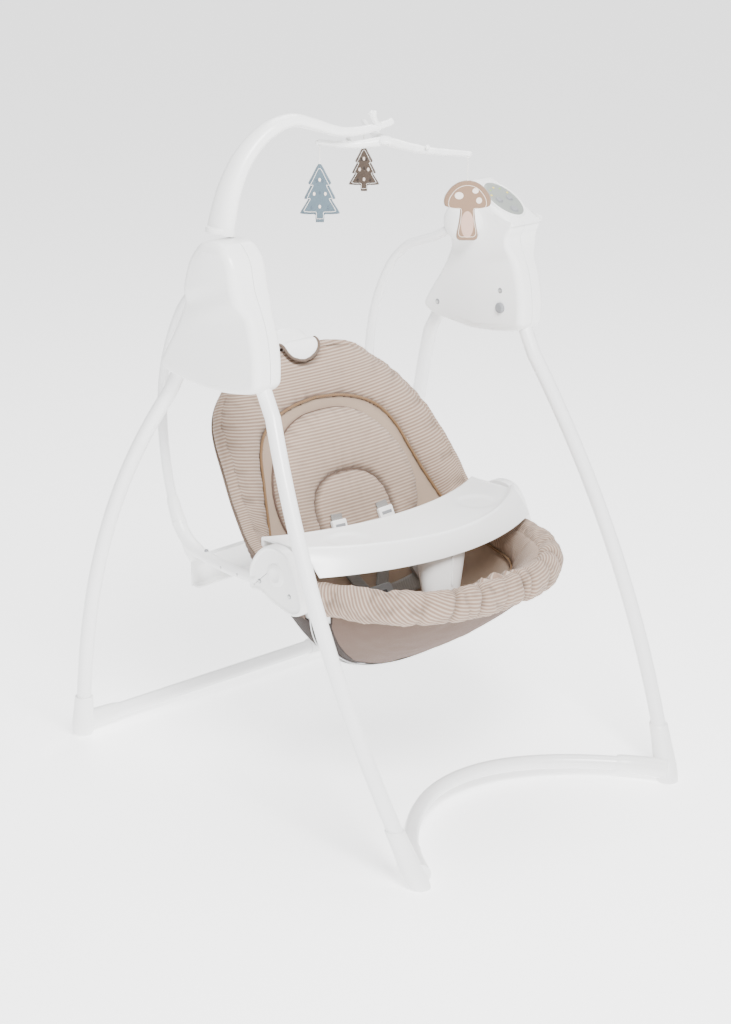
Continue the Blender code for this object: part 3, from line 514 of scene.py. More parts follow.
def rear_base_line():
    return [Vector((-0.313 + 0.626 * i / 80, 0.4305, BASE_Z)) for i in range(81)]


def foot(tag, side, front):
    """A moulded corner: sleeves on the leg and the floor tube, a web between them, and a flat sole."""
    rule = front_leg_point if front else rear_leg_point
    base = front_base_line() if front else rear_base_line()
    if side > 0:
        base = base[::-1]
    body = "front_frame" if front else "frame"
    end = "front" if front else "rear"
    rings = []
    for z, grow in ((0.0, 0.86), (0.0015, 0.97), (0.005, 1.02), (0.016, 1.07), (0.030, 1.06), (0.045, 1.0),
                    (0.060, 0.95), (0.075, 0.91), (0.086, 0.885), (0.0905, 0.86), (0.0915, 0.80)):
        centre = mirrored(rule(z), side)
        radius = 0.0182 * grow
        rings.append(circle(centre, X, Y, radius, 36, radius * 1.06))
    skin(f"{end}_foot_shape_{tag}", rings, "white", body, "white_plastic", replaced=f"{end}_foot_{tag}")
    run = [p for p in base if (p - base[0]).length < (0.094 if front else 0.086)]
    radii = []
    for p in run:
        share = (p - base[0]).length / 0.094
        radii.append(0.0178 - 0.0020 * smoothstep(share * 1.1))
    radii[-1] *= 0.93
    tube(f"{end}_foot_sleeve_{tag}", run, radii, "white", body, "white_plastic", 32, UP_AXIS)
    leg_dir = (mirrored(rule(0.085), side) - mirrored(rule(0.02), side)).normalized()
    corner = mirrored(rule(0.020), side)
    base_dir = (run[-1] - run[0]).normalized()
    normal = leg_dir.cross(base_dir).normalized()
    outline = []
    reach = 0.062
    for i in range(13):
        t = i / 12
        a = (1 - t) ** 2.2 * reach
        b = t ** 2.2 * reach
        outline.append(corner + leg_dir * a + base_dir * b)
    outline.append(corner + base_dir * 0.004)
    outline = [corner] + outline[:-1]
    rings = []
    for depth, shrink in ((-0.0058, 0.93), (-0.0045, 1.0), (0.0045, 1.0), (0.0058, 0.93)):
        rings.append([corner + (p - corner) * shrink + normal * depth for p in outline])
    skin(f"{end}_foot_web_{tag}", rings, "white", body, "white_plastic")


def build_stand():
    for side, tag in SIDES:
        tube(f"rear_leg_tube_{tag}", leg_line(rear_leg_point, REAR_LEG_TOP, side), LEG_RADIUS, "tube",
             "frame", "white_tube", replaced=f"rear_leg_{tag}")
        tube(f"front_leg_tube_{tag}", leg_line(front_leg_point, FRONT_LEG_TOP, side), LEG_RADIUS, "tube",
             "front_frame", "white_tube", replaced=f"front_leg_{tag}")
        foot(tag, side, True)
        foot(tag, side, False)
    line = front_base_line()
    tube("front_floor_tube", [p for p in line if abs(p.x) < 0.268], LEG_RADIUS, "tube", "front_frame",
         "white_tube", 28, UP_AXIS, replaced="front_base_tube")
    tube("rear_floor_tube", [p for p in rear_base_line() if abs(p.x) < 0.28], LEG_RADIUS, "tube",
         "frame", "white_tube", 28, UP_AXIS, replaced="rear_base_tube")


# ------------------------------------------------------------------ hubs
HUB_FRONT = [(0.026, 0.7245), (-0.012, 0.7275), (-0.046, 0.7325), (-0.070, 0.7385), (-0.083, 0.7480),
             (-0.0865, 0.7620), (-0.0855, 0.8000), (-0.0770, 0.8400), (-0.0640, 0.8720)]
HUB_REAR = [(0.050, 0.7245), (0.086, 0.7275), (0.118, 0.7310), (0.143, 0.7360), (0.1560, 0.7445),
            (0.1575, 0.7560), (0.1400, 0.7840), (0.1160, 0.8180), (0.0980, 0.8500)]
ROUND_FRONT = [(-0.0520, 0.8970), (-0.0470, 0.9180), (-0.0420, 0.9400), (-0.0300, 0.9590), (-0.0110, 0.9715)]
ROUND_REAR = [(0.0860, 0.8800), (0.0780, 0.9080), (0.0680, 0.9340), (0.0520, 0.9560), (0.0310, 0.9705)]
PANEL_FRONT = [(-0.0560, 0.8900), (-0.0560, 0.9020), (-0.0620, 0.9130), (-0.0635, 0.9220), (-0.0580, 0.9300)]
PANEL_REAR = [(0.0880, 0.8800), (0.0860, 0.9080), (0.0830, 0.9400), (0.0700, 0.9680), (0.0500, 0.9830)]
HUB_IN, HUB_OUT, HEAD_IN, HEAD_OUT = 0.028, 0.031, 0.036, 0.043


def smooth_outline(front, rear, steps=5):
    """A hub's side view as a closed smooth loop of (y, z) points."""
    corners = [np.array(p) for p in front] + [np.array(p) for p in reversed(rear)]
    count = len(corners)
    loop = []
    for i in range(count):
        p0, p1, p2, p3 = corners[i - 1], corners[i], corners[(i + 1) % count], corners[(i + 2) % count]
        for k in range(steps):
            t = k / steps
            loop.append(between(p0, p1, p2, p3, t))
    return np.array(loop)


def inset_loop(loop, distance):
    """The loop moved inwards."""
    tangent = np.roll(loop, -1, 0) - np.roll(loop, 1, 0)
    tangent /= np.linalg.norm(tangent, axis=1, keepdims=True)
    inward = np.stack([tangent[:, 1], -tangent[:, 0]], 1)
    middle = loop.mean(0)
    if ((middle - loop) * inward).sum() < 0:
        inward = -inward
    return loop + inward * distance


def head_share(z):
    return float(smoothstep((z - 0.862) / 0.032))


def hub_shell(name, loop, side, outward_way, replaced, edge):
    """One half of a hub: a rounded edge round a slightly crowned face. edge is the rounding at the head."""
    body, head = (HUB_OUT, HEAD_OUT) if outward_way > 0 else (HUB_IN, HEAD_IN)
    shares = [head_share(z) for _, z in loop]
    rings = []

    def ring(amounts, losses):
        moved = [inset_loop(loop, a) for a in (0.0, 1.0)]
        points = []
        for i, share in enumerate(shares):
            radius = 0.0135 + (edge - 0.0135) * share
            step = amounts if amounts < 0.001 else amounts * radius
            y, z = moved[0][i] + (moved[1][i] - moved[0][i]) * step
            depth = body + (head - body) * share
            x = 0.0002 if losses is None else depth - losses * radius
            points.append(Vector((side * (HUB_X + outward_way * x), y, z)))
        return points

    rings.append(ring(0.0007, None))
    rings.append([p + X * side * outward_way * 0.0008 for p in ring(0.0, None)])
    arc = 9
    for i in range(arc + 1):
        angle = math.pi / 2 * i / arc
        rings.append(ring(1 - math.cos(angle), 1 - math.sin(angle)))
    vertices, faces = loft(rings, capped=False)
    count = len(loop)
    start = (len(rings) - 1) * count
    columns = 12
    grid = []
    for i in range(count // 2):
        front, rear = vertices[start + i], vertices[start + count - 1 - i]
        row = [start + i]
        for k in range(1, columns):
            t = k / columns
            crown = 0.0016 * 4 * t * (1 - t)
            row.append(len(vertices))
            vertices.append(front.lerp(rear, t) + X * side * outward_way * crown)
        row.append(start + count - 1 - i)
        grid.append(row)
    for a, b in zip(grid, grid[1:]):
        for k in range(columns):
            faces.append((a[k], a[k + 1], b[k + 1], b[k]))
    faces.append(tuple(grid[0]))
    faces.append(tuple(grid[-1]))
    outward(piece(name, vertices, faces, "white", "frame", "white_plastic", 32, replaced))


def screw(name, centre, normal, body, radius=0.0036):
    """A countersunk screw in its recess: dark ring and steel head."""
    turned(f"{name}_well", centre - normal * 0.0004, normal, [(0, radius * 1.35), (0.0008, radius * 1.3),
                                                              (0.0009, radius * 1.1)], "grey", body)
    turned(f"{name}_head", centre, normal, [(0, radius), (0.0009, radius * 0.97), (0.0013, radius * 0.7)],
           "steel", body)


def build_hubs():
    for side, tag in SIDES:
        if side > 0:
            loop = smooth_outline(HUB_FRONT + PANEL_FRONT, HUB_REAR + PANEL_REAR)
        else:
            loop = smooth_outline(HUB_FRONT + ROUND_FRONT, HUB_REAR + ROUND_REAR)
        edge = 0.0085 if side > 0 else 0.0150
        hub_shell(f"hub_cover_inner_{tag}", loop, side, -1, f"hub_inner_{tag}", edge)
        hub_shell(f"hub_cover_outer_{tag}", loop, side, 1, f"hub_outer_{tag}", edge)
        turned(f"arm_dome_{tag}", (side * 0.2235, SWING.y, SWING.z), (side, 0, 0),
               [(0, 0.0), (0.0004, 0.008), (0.0015, 0.0165), (0.0040, 0.0230), (0.0085, 0.0290),
                (0.0140, 0.0322), (0.0200, 0.0338), (0.0280, 0.0343), (0.0385, 0.0345),
                (0.0395, 0.0338)], "white", "swing_frame", "white_plastic", 56, replaced=f"arm_collar_{tag}")
        for i, (y, z) in enumerate(((0.052, 0.868), (0.050, 0.842), (-0.036, 0.806), (0.118, 0.760))):
            screw(f"hub_screw_{tag}_{i}", Vector((side * (HUB_X - HUB_IN - 0.0010), y, z)), X * -side,
                  "frame")
        paint(f"fold_button_{tag}", "grey")
    build_panel()


def build_panel():
    """Sloping control panel on the motor hub: bezel, plate, three buttons and printed-style rings."""
    slope = PANEL_N.cross(X)

    def oval(depth, grow, sides=64):
        return circle(PANEL + PANEL_N * depth, X, slope, PANEL_B + grow, sides, PANEL_A + grow)

    bezel = [oval(-0.004, 0.0030), oval(0.0012, 0.0030), oval(0.0024, 0.0022), oval(0.0026, 0.0008),
             oval(0.0016, -0.0004), oval(-0.004, -0.0004)]
    skin("panel_bezel", bezel, "white", "frame", "white_plastic", closed=True)
    plate = [oval(-0.0060, -0.0006), oval(0.0010, -0.0006), oval(0.0016, -0.0016), oval(0.0018, -0.0060)]
    skin("panel_plate", plate, "panel", "frame", "panel_plastic", replaced="control_panel")
    for i in range(5):
        angle = math.radians(205 + 32.5 * i)
        spot = PANEL + X * 0.0215 * math.cos(angle) - slope * 0.030 * math.sin(angle) + PANEL_N * 0.0016
        turned(f"panel_light_{i}", spot, PANEL_N, [(0, 0.0022), (0.0008, 0.0021), (0.0013, 0.0014)],
               "green" if i % 2 else "yellow", "frame", sides=20)
    buttons = (("power_button", 0.0, -0.0290, 0.0068, "grey"),
               ("music_button", -0.0125, -0.0010, 0.0058, "grey"),
               ("timer_button", 0.0125, -0.0010, 0.0058, "grey"))
    for name, u, v, radius, material in buttons:
        foot_point = PANEL + X * u + slope * v - PANEL_N * 0.0065
        turned(f"{name}_cap", foot_point, PANEL_N,
               [(0, radius), (0.0098, radius), (0.0106, radius - 0.0006), (0.0110, radius - 0.0018),
                (0.0107, radius - 0.0034), (0.0106, 0.0)], material, name, replaced=name)
        turned(f"{name}_ring", foot_point + PANEL_N * 0.0078, PANEL_N,
               [(0, radius + 0.0022), (0.0008, radius + 0.0020), (0.0008, radius + 0.0006),
                (0, radius + 0.0005)],
               "grey", "frame", sides=36)


# ------------------------------------------------------------------ hanging frame
def arm_line(side):
    route = [(0.2400, 0.058, 0.905), (0.2400, 0.088, 0.889), (0.2400, 0.130, 0.873), (0.2400, 0.167, 0.857),
             (0.2400, 0.208, 0.816), (0.2405, 0.240, 0.755), (0.2415, 0.259, 0.690), (0.2420, 0.265, 0.620),
             (0.2420, 0.260, 0.550), (0.2420, 0.246, 0.485), (0.2425, 0.222, 0.430), (0.2440, 0.190, 0.403),
             (0.2490, 0.145, 0.395), (0.2580, 0.085, 0.395), (0.2645, 0.035, 0.397), (0.2650, -0.010, 0.399)]
    return curve_through([mirrored(p, side) for p in route], 8)


def build_swing_frame():
    for side, tag in SIDES:
        line = arm_line(side)
        start = Vector((side * 0.2400, 0.040, 0.912))
        tube(f"arm_tube_{tag}", [start] + line[:88], ARM_RADIUS, "tube", "swing_frame", "white_tube",
             replaced=f"swing_arm_{tag}")
        lower = line[73:]
        radii = []
        for i in range(len(lower)):
            t = i / (len(lower) - 1)
            radii.append(0.0106 + 0.0015 * smoothstep(t / 0.12) - 0.0020 * smoothstep((t - 0.35) / 0.12))
        radii[0] *= 0.93
        tube(f"seat_tube_shape_{tag}", lower, radii, "white", "swing_frame", "white_plastic",
             replaced=f"seat_tube_{tag}")
        turned(f"elbow_collar_{tag}", line[79] - (line[80] - line[78]).normalized() * 0.004,
               line[80] - line[78], [(0, 0.0121), (0.001, 0.0130), (0.007, 0.0130), (0.008, 0.0121)],
               "white", "swing_frame")
        for i in (104, 112):
            turned(f"rivet_{tag}_{i}", line[i] + Vector((side * 0.0085, 0, 0.0)), (side, 0, 0),
                   [(0, 0.0030), (0.0016, 0.0028), (0.0024, 0.0016)], "steel", "swing_frame", sides=20)
        build_bracket(side, tag)
        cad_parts[f"snap_button_{tag}"].data.materials.clear()
        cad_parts[f"snap_button_{tag}"].data.materials.append(M["grey"])
    build_brace()


def build_bracket(side, tag):
    """Moulded plate beside the seat, with a raised border, a hub over the pivot and two screws."""
    outline = [(0.002, 0.383), (0.004, 0.418), (-0.018, 0.452), (-0.048, 0.468), (-0.086, 0.462),
               (-0.112, 0.425), (-0.126, 0.378), (-0.104, 0.360), (-0.060, 0.368), (-0.024, 0.382)]
    loop = smooth_outline(outline[:5], outline[5:][::-1], 6)
    x0 = 0.2560
    rings = []
    for depth, shrink in ((0.0, 0.0010), (0.0010, 0.0), (0.0150, 0.0), (0.0172, 0.0006), (0.0183, 0.0022),
                          (0.0185, 0.0045), (0.0168, 0.0062), (0.0165, 0.0090)):
        rings.append([Vector((side * (x0 + depth), y, z)) for y, z in inset_loop(loop, shrink)])
    skin(f"bracket_plate_{tag}", rings, "white", "swing_frame", "white_plastic",
         replaced=f"seat_bracket_{tag}")
    turned(f"bracket_hub_{tag}", (side * (x0 + 0.0160), RECLINE.y, RECLINE.z + 0.030), (side, 0, 0),
           [(0, 0.020), (0.0016, 0.0196), (0.0026, 0.0180), (0.0030, 0.0120), (0.0018, 0.0105),
            (0.0018, 0.0)],
           "white", "swing_frame")
    for i, (y, z) in enumerate(((-0.094, 0.392), (-0.020, 0.400))):
        screw(f"bracket_screw_{tag}_{i}", Vector((side * (x0 + 0.0166), y, z)), X * side, "swing_frame",
              0.003)


def build_brace():
    """Channel across the back between the elbows."""
    section = [(0.000, 0.001), (0.000, 0.051), (-0.001, 0.052), (-0.016, 0.052), (-0.016, 0.0490),
               (-0.003, 0.0490), (-0.003, 0.003), (-0.020, 0.003), (-0.020, 0.000), (-0.001, 0.000)]
    rings = []
    for i in range(49):
        share = 2 * i / 48 - 1
        crown = 1 - share * share
        rings.append([Vector((0.2290 * share, 0.2130 - 0.012 * crown + dy, 0.3200 + 0.010 * crown + dz))
                      for dy, dz in section])
    skin("brace_channel", rings, "white", "swing_frame", "white_plastic", sharp=30, replaced="rear_brace")
    for side, tag in SIDES:
        link = [Vector((side * 0.2290, 0.205, 0.372)), Vector((side * 0.236, 0.206, 0.385)),
                Vector((side * 0.2425, 0.207, 0.404)), Vector((side * 0.2430, 0.208, 0.418))]
        tube(f"brace_end_{tag}", curve_through(link, 6), 0.0085, "white", "swing_frame", "white_plastic", 20)


# ------------------------------------------------------------------ seat surface
RIM_POWER, SIDE_POWER, TURN_LIMIT = 2.3, 0.85, 0.78


def spline(points, u):
    """A smooth curve through equally spaced points, at each u from 0 to 1."""
    points = np.asarray(points, float)
    u = np.asarray(u, float)
    last = len(points) - 1
    span = u * last
    i = np.minimum(span.astype(int), last - 1)
    t = (span - i)[..., None]
    p0, p1, p2, p3 = (points[np.clip(i + k, 0, last)] for k in (-1, 0, 1, 2))
    return between(p0, p1, p2, p3, t)


def bowl(u, v):
    """The seat's inner face: u from the head end to the knees, v from side to side."""
    u, v = np.broadcast_arrays(np.asarray(u, float), np.asarray(v, float))
    width = SEAT_HALF_WIDTH * np.maximum(1 - np.abs(2 * u - 1) ** RIM_POWER, 0) ** (1 / RIM_POWER)
    angle = v * math.pi / 2
    across = np.sign(angle) * np.abs(np.sin(angle)) ** SIDE_POWER
    rim, keel = spline(RIM, u), spline(KEEL, u)
    centre = keel + (rim - keel) * (1 - np.cos(angle))[..., None]
    return np.stack([width * across, centre[..., 0], centre[..., 1]], -1)


def bowl_normal(u, v):
    """Direction into the bowl; near the rim it keeps the direction it has a little inside."""
    v = np.clip(v, -TURN_LIMIT, TURN_LIMIT)
    u0, u1 = np.clip(u - 0.012, 0.02, 0.98), np.clip(u + 0.012, 0.02, 0.98)
    u0, u1 = np.minimum(u0, 0.956), np.maximum(u1, 0.044)
    across = bowl(u, v + 0.03) - bowl(u, v - 0.03)
    along_it = bowl(u1, v) - bowl(u0, v)
    normal = -np.cross(across, along_it)
    return normal / np.linalg.norm(normal, axis=-1, keepdims=True)


def on_bowl(u, v, height):
    u, v = np.broadcast_arrays(np.asarray(u, float), np.asarray(v, float))
    return bowl(u, v) + bowl_normal(u, v) * np.asarray(height)[..., None]


def laid(u, v, height):
    """A list of points on the bowl."""
    return [Vector(p) for p in on_bowl(u, v, height)]


def both_halves(half):
    """A closed (u, v) loop from its right half, which starts and ends on the middle line."""
    dense = spline(half, np.linspace(0, 1, 160))
    return np.concatenate([dense, dense[-2:0:-1] * [1, -1]])


PIPING = both_halves([(0.150, 0.0), (0.160, 0.14), (0.182, 0.27), (0.218, 0.38), (0.270, 0.445),
                      (0.335, 0.475),
                      (0.41, 0.525), (0.50, 0.63), (0.58, 0.74), (0.66, 0.81), (0.74, 0.81), (0.80, 0.70),
                      (0.835, 0.45), (0.845, 0.0)])
INSERT = both_halves([(0.186, 0.0), (0.191, 0.10), (0.212, 0.20), (0.250, 0.29), (0.300, 0.365),
                      (0.355, 0.405),
                      (0.410, 0.405), (0.455, 0.36), (0.485, 0.27), (0.500, 0.14), (0.503, 0.0)])
SEAM = np.concatenate([spline([(0.500, 0.165), (0.455, 0.185), (0.405, 0.180), (0.365, 0.135), (0.343, 0.065),
                               (0.338, 0.0)], np.linspace(0, 1, 80)) * [1, s] for s in (1, -1)])


def inside_loop(loop, u, v):
    """True where (u, v) lies inside a loop that is symmetric about v = 0."""
    right = loop[:160]
    order = np.argsort(right[:, 0])
    reach = np.interp(u, right[order, 0], right[order, 1], left=0, right=0)
    return np.abs(v) < reach


def line_on_bowl(loop, height):
    return on_bowl(loop[:, 0], loop[:, 1], np.full(len(loop), height))


def distance_to(points, line):
    """Each point's distance to a dense line, and the nearest place along that line in metres."""
    flat = points.reshape(-1, 3)
    run = run_along(line)
    far, where = [], []
    for chunk in np.array_split(flat, max(1, len(flat) // 4000)):
        gap = ((chunk[:, None, :] - line[None]) ** 2).sum(2)
        k = gap.argmin(1)
        far.append(np.sqrt(gap[np.arange(len(chunk)), k]))
        where.append(run[k])
    shape = points.shape[:-1]
    return np.concatenate(far).reshape(shape), np.concatenate(where).reshape(shape)


def rounded(t):
    t = np.clip(t, 0, 1)
    return np.sqrt(1 - (1 - t) ** 2)


def puckers(run, away, pitch, reach, seed):
    """Gathers that start at a seam and die out: -1 to 1."""
    wobble = np.array([noise.noise(Vector((r * 18 + seed, seed * 3.1,
                                           0))) for r in run.ravel()]).reshape(run.shape)
    gathers = np.sin(2 * math.pi * (run / pitch + 0.9 * wobble))
    return gathers * (0.45 + 0.9 * np.abs(wobble)) * np.exp(-away / reach)


def slow_noise(points, scale, seed, stretch=(1, 1, 1)):
    flat = points.reshape(-1, 3) * scale * np.array(stretch)
    values = [noise.noise(Vector((p[0] + seed, p[1] - seed, p[2] + 0.5 * seed))) for p in flat]
    return np.array(values).reshape(points.shape[:-1])


RIM_LINE = np.concatenate([on_bowl(u, np.full(400, s), np.zeros(400)) for s, u in
                           ((-1, np.linspace(0.9995, 0.0005, 400)), (1, np.linspace(0.0005, 0.9995, 400)))])


def tab_notch(points):
    """1 where the cover is cut back for the head tab, 0 away from it."""
    below = np.maximum(0.712 - points[..., 2], 0.0)
    reach = np.sqrt((points[..., 0] / 0.054) ** 2 + (below / 0.042) ** 2)
    return smoothstep((1 - reach) / 0.30)


def pad_height(u, v):
    """How far the pad's face stands off the shell: a full border, a seam, and a thinner liner."""
    face = on_bowl(u, v, np.full(np.shape(u), 0.016))
    seam, run = distance_to(face, line_on_bowl(PIPING, 0.016))
    rim, rim_run = distance_to(bowl(u, v), RIM_LINE)
    inner = inside_loop(PIPING, u, v)
    border = 0.0100 + 0.0205 * rounded(seam / 0.040) * rounded((rim + 0.0008) / 0.044)
    border += 0.0042 * puckers(run, seam, 0.029, 0.032, 2.0) * smoothstep(seam / 0.014)
    border += 0.0020 * puckers(rim_run, rim, 0.034, 0.022, 7.0)
    border += 0.0034 * slow_noise(face, 13.0, 3.0, (1, 1, 0.6)) + 0.0010 * slow_noise(face, 38.0, 5.0,
                                                                                      (1.6, 1, 0.5))
    border = border - (border - 0.0060) * tab_notch(bowl(u, v))
    liner = 0.0120 + 0.0035 * rounded(seam / 0.022) + 0.0010 * puckers(run, seam, 0.017, 0.016, 4.0)
    liner += 0.0012 * slow_noise(face, 22.0, 9.0)
    return np.where(inner, liner, border)


def insert_height(u, v):
    """Thickness of the infant insert over the liner, with its sewn arch."""
    face = on_bowl(u, v, np.full(np.shape(u), 0.024))
    edge, run = distance_to(face, line_on_bowl(INSERT, 0.024))
    arch, arch_run = distance_to(face, line_on_bowl(SEAM, 0.024))
    thick = 0.0025 + 0.0245 * rounded(edge / 0.036)
    thick -= 0.0090 * np.exp(-(arch / 0.0045) ** 2) + 0.0050 * np.exp(-(arch / 0.018) ** 2)
    thick += 0.0020 * puckers(run, edge, 0.028, 0.024, 11.0) + 0.0016 * puckers(arch_run, arch, 0.020, 0.016,
                                                                                13.0)
    thick += 0.0016 * slow_noise(face, 17.0, 15.0, (1.5, 1, 0.6)) + 0.0008 * slow_noise(face, 45.0, 17.0,
                                                                                        (1.8, 1, 0.5))
    return np.where(inside_loop(INSERT, u, v), np.maximum(thick, 0.0015), 0.0)


def keel_run(u):
    """Arc length along the seat's middle line, at u."""
    us = np.linspace(0, 1, 400)
    line = spline(KEEL, us)
    run = run_along(line)
    return np.interp(u, us, run)


def stations(count, low=0.001, high=0.999):
    """u values from the head end to the knees, close together where the outline turns."""
    t = np.linspace(low, high, count)
    return 0.5 - 0.5 * np.cos(math.pi * t)


def rim_directions(u, side):
    """At each u of the rim: outwards in the plane of the edge, and into the bowl."""
    into = bowl_normal(u, np.full(len(u), side * TURN_LIMIT))
    edge = bowl(u, np.full(len(u), float(side)))
    tangent = np.gradient(edge, axis=0)
    tangent /= np.linalg.norm(tangent, axis=1, keepdims=True)
    away = np.cross(tangent, into)
    away /= np.linalg.norm(away, axis=1, keepdims=True)
    inside = bowl(u, np.full(len(u), side * 0.9)) - edge
    flip = np.sign(-(away * inside).sum(1))
    flip[flip == 0] = 1
    return away * flip[:, None], into


def build_pad():
    """The border and liner of the seat cover, wrapped over the shell's edge."""
    us = stations(168)
    vs = np.sin(np.linspace(-math.pi / 2, math.pi / 2, 131))
    grid_u, grid_v = np.meshgrid(us, vs, indexing="ij")
    heights = pad_height(grid_u, grid_v)
    top = on_bowl(grid_u, grid_v, heights)
    low_v = vs[::-1]
    bottom = on_bowl(*np.meshgrid(us, low_v, indexing="ij"),
                     np.where(np.abs(low_v) > 0.93, -0.0062, 0.0006)[None]
                     + np.zeros((len(us), 1)))
    turns = np.linspace(0, math.pi, 11)[1:-1]
    caps = {}
    for side in (1, -1):
        away, _ = rim_directions(us, side)
        first = top[:, -1 if side > 0 else 0]
        last = bottom[:, 0 if side > 0 else -1]
        middle, half = (first + last) / 2, (first - last) / 2
        bulge = 0.0095 + 0.0012 * slow_noise(first, 30.0, 21.0)
        bulge = bulge * (1 - 0.7 * tab_notch(bowl(us, np.full(len(us), float(side)))))
        caps[side] = np.stack([middle + half * math.cos(a) + away * (bulge * math.sin(a))[:, None]
                               for a in turns], 1)
    rings = np.concatenate([top, caps[1], bottom, caps[-1][:, ::-1]], 1)
    pad = skin("seat_cover", [list(r) for r in rings], "stripe", "seat", "stripe_fabric", sharp=80)
    columns = rings.shape[1]
    forward = np.gradient(spline(KEEL, us), us, axis=0)
    forward /= np.linalg.norm(forward, axis=1, keepdims=True)
    own_v = np.concatenate([vs, np.ones(len(turns)), low_v, -np.ones(len(turns))])
    beyond = (rings - bowl(us[:, None], own_v[None]))[..., 1:] * forward[:, None]
    run = keel_run(us)[:, None] + beyond.sum(-1)
    set_weave(pad, np.stack([rings[..., 0].ravel(), run.ravel()], 1))
    # Painted shade: the hollows of the pad's face darken the cloth's colour through the fold attribute,
    # except in the head tab's notch.
    folds = np.zeros(rings.shape[:2])
    folds[:, :len(vs)] = creases(heights, 5, 0.0034) * (1 - tab_notch(bowl(grid_u, grid_v)))
    set_painted_crease_shade(pad, folds)
    pad.data.materials.append(M["liner"])
    inner = inside_loop(PIPING, grid_u, grid_v)
    count = len(vs)
    for face in pad.data.polygons:
        row, column = divmod(min(face.vertices), columns)
        if len(face.vertices) == 4 and column < count and inner[row, column]:
            face.material_index = 1
    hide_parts("seat_pad")


def build_pipings():
    loop = PIPING[::2]
    heights = np.full(len(loop), 0.0182)
    points = laid(loop[:, 0], loop[:, 1], heights)
    cloth_cord("oval_piping", points, 0.0026, "piping", "stripe_fabric", 12, (0.3, 0.35, -0.9), True)
    outer = []
    for side in (-1, 1):
        u = stations(110)
        away, into = rim_directions(u, side)
        edge = bowl(u, np.full(110, float(side))) + away * 0.0046 - into * 0.0068
        keep = edge[u < 0.66]
        outer.append(keep[::-1] if side < 0 else keep)
    points = [Vector(p) for p in np.concatenate(outer)]
    points = [p for i, p in enumerate(points) if i == 0 or (p - points[i - 1]).length > 0.0015]
    cloth_cord("rim_piping", points, 0.0024, "rim_cord", "stripe_fabric", 12, (0.9, 0.3, -0.2))


def build_insert():
    """Egg-shaped infant insert: a crowned pad with a sewn arch and a corded edge."""
    centre = np.array([0.350, 0.0])
    loop = INSERT[::2]
    shares = np.sin(np.linspace(0, math.pi / 2, 44)[1:])
    grid = centre + shares[:, None, None] * (loop - centre)[None]
    u, v = grid[..., 0], grid[..., 1]
    edge_in = centre + 0.995 * (grid - centre)
    base = pad_height(u, v)
    thick = insert_height(edge_in[..., 0], edge_in[..., 1])
    top = on_bowl(u, v, base + thick)
    low = on_bowl(u, v, base + 0.0004)
    middle_u, middle_v = np.array([centre[0]]), np.array([0.0])
    middle_height = pad_height(middle_u, middle_v)
    peak = on_bowl(middle_u, middle_v, middle_height + insert_height(middle_u, middle_v))[0]
    floor = on_bowl(middle_u, middle_v, middle_height + 0.0004)[0]
    count = len(loop)
    vertices = [peak] + list(top.reshape(-1, 3)) + list(low[::-1].reshape(-1, 3)) + [floor]
    rows = 2 * len(shares)
    faces = [(0, 1 + j, 1 + (j + 1) % count) for j in range(count)]
    for i in range(rows - 1):
        a, b = 1 + i * count, 1 + (i + 1) * count
        faces += [(a + j, b + j, b + (j + 1) % count, a + (j + 1) % count) for j in range(count)]
    end, last = len(vertices) - 1, 1 + (rows - 1) * count
    faces += [(end, last + (j + 1) % count, last + j) for j in range(count)]
    made = outward(piece("insert_pad", vertices, faces, "insert", "seat", "insert_fabric", sharp=80))
    runs = np.concatenate([keel_run(centre[:1]), keel_run(u).ravel(), keel_run(u[::-1]).ravel(),
                           keel_run(centre[:1])])
    set_weave(made, np.stack([points_of(made)[:, 0], runs], 1))
    # Painted shade: the hollows of the insert darken its colour through the fold attribute.
    shade = creases(thick, 3, 0.0040)
    set_painted_crease_shade(made, np.concatenate([[0.0], shade.ravel(), np.zeros(low.shape[0] * count), [0.0]]))
    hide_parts("infant_insert")
    heights = pad_height(loop[:, 0], loop[:, 1]) + 0.0030
    points = laid(loop[:, 0], loop[:, 1], heights)
    cloth_cord("insert_piping", points, 0.0021, "skirt", "insert_fabric", 10, (0.3, 0.35, -0.9), True)
    arch = np.concatenate([SEAM[:80], SEAM[80:][::-1]])[::2]
    heights = pad_height(arch[:, 0], arch[:, 1]) + insert_height(arch[:, 0], arch[:, 1]) + 0.0004
    points = laid(arch[:, 0], arch[:, 1], heights)
    cloth_cord("arch_piping", points, 0.0014, "skirt", "insert_fabric", 10, (0.3, 0.35, -0.9))


def layer(name, us, vs, outer, inner, material, slot, wrinkle=None, replaced=None):
    """A closed sheet that follows the bowl between two distances off its face."""
    u, v = np.meshgrid(us, vs, indexing="ij")
    extra = wrinkle(on_bowl(u, v, np.full(u.shape, outer)), u, v) if wrinkle else 0.0
    top = on_bowl(u, v, outer + extra + np.zeros(u.shape))
    low = on_bowl(u, v, inner + extra + np.zeros(u.shape))
    rings = np.concatenate([top, low[:, ::-1]], 1)
    made = skin(name, [list(r) for r in rings], material, "seat", slot, 50, replaced)
    run = np.repeat(keel_run(us)[:, None], rings.shape[1], 1)
    set_weave(made, np.stack([rings[..., 0].ravel(), run.ravel()], 1))
    return made


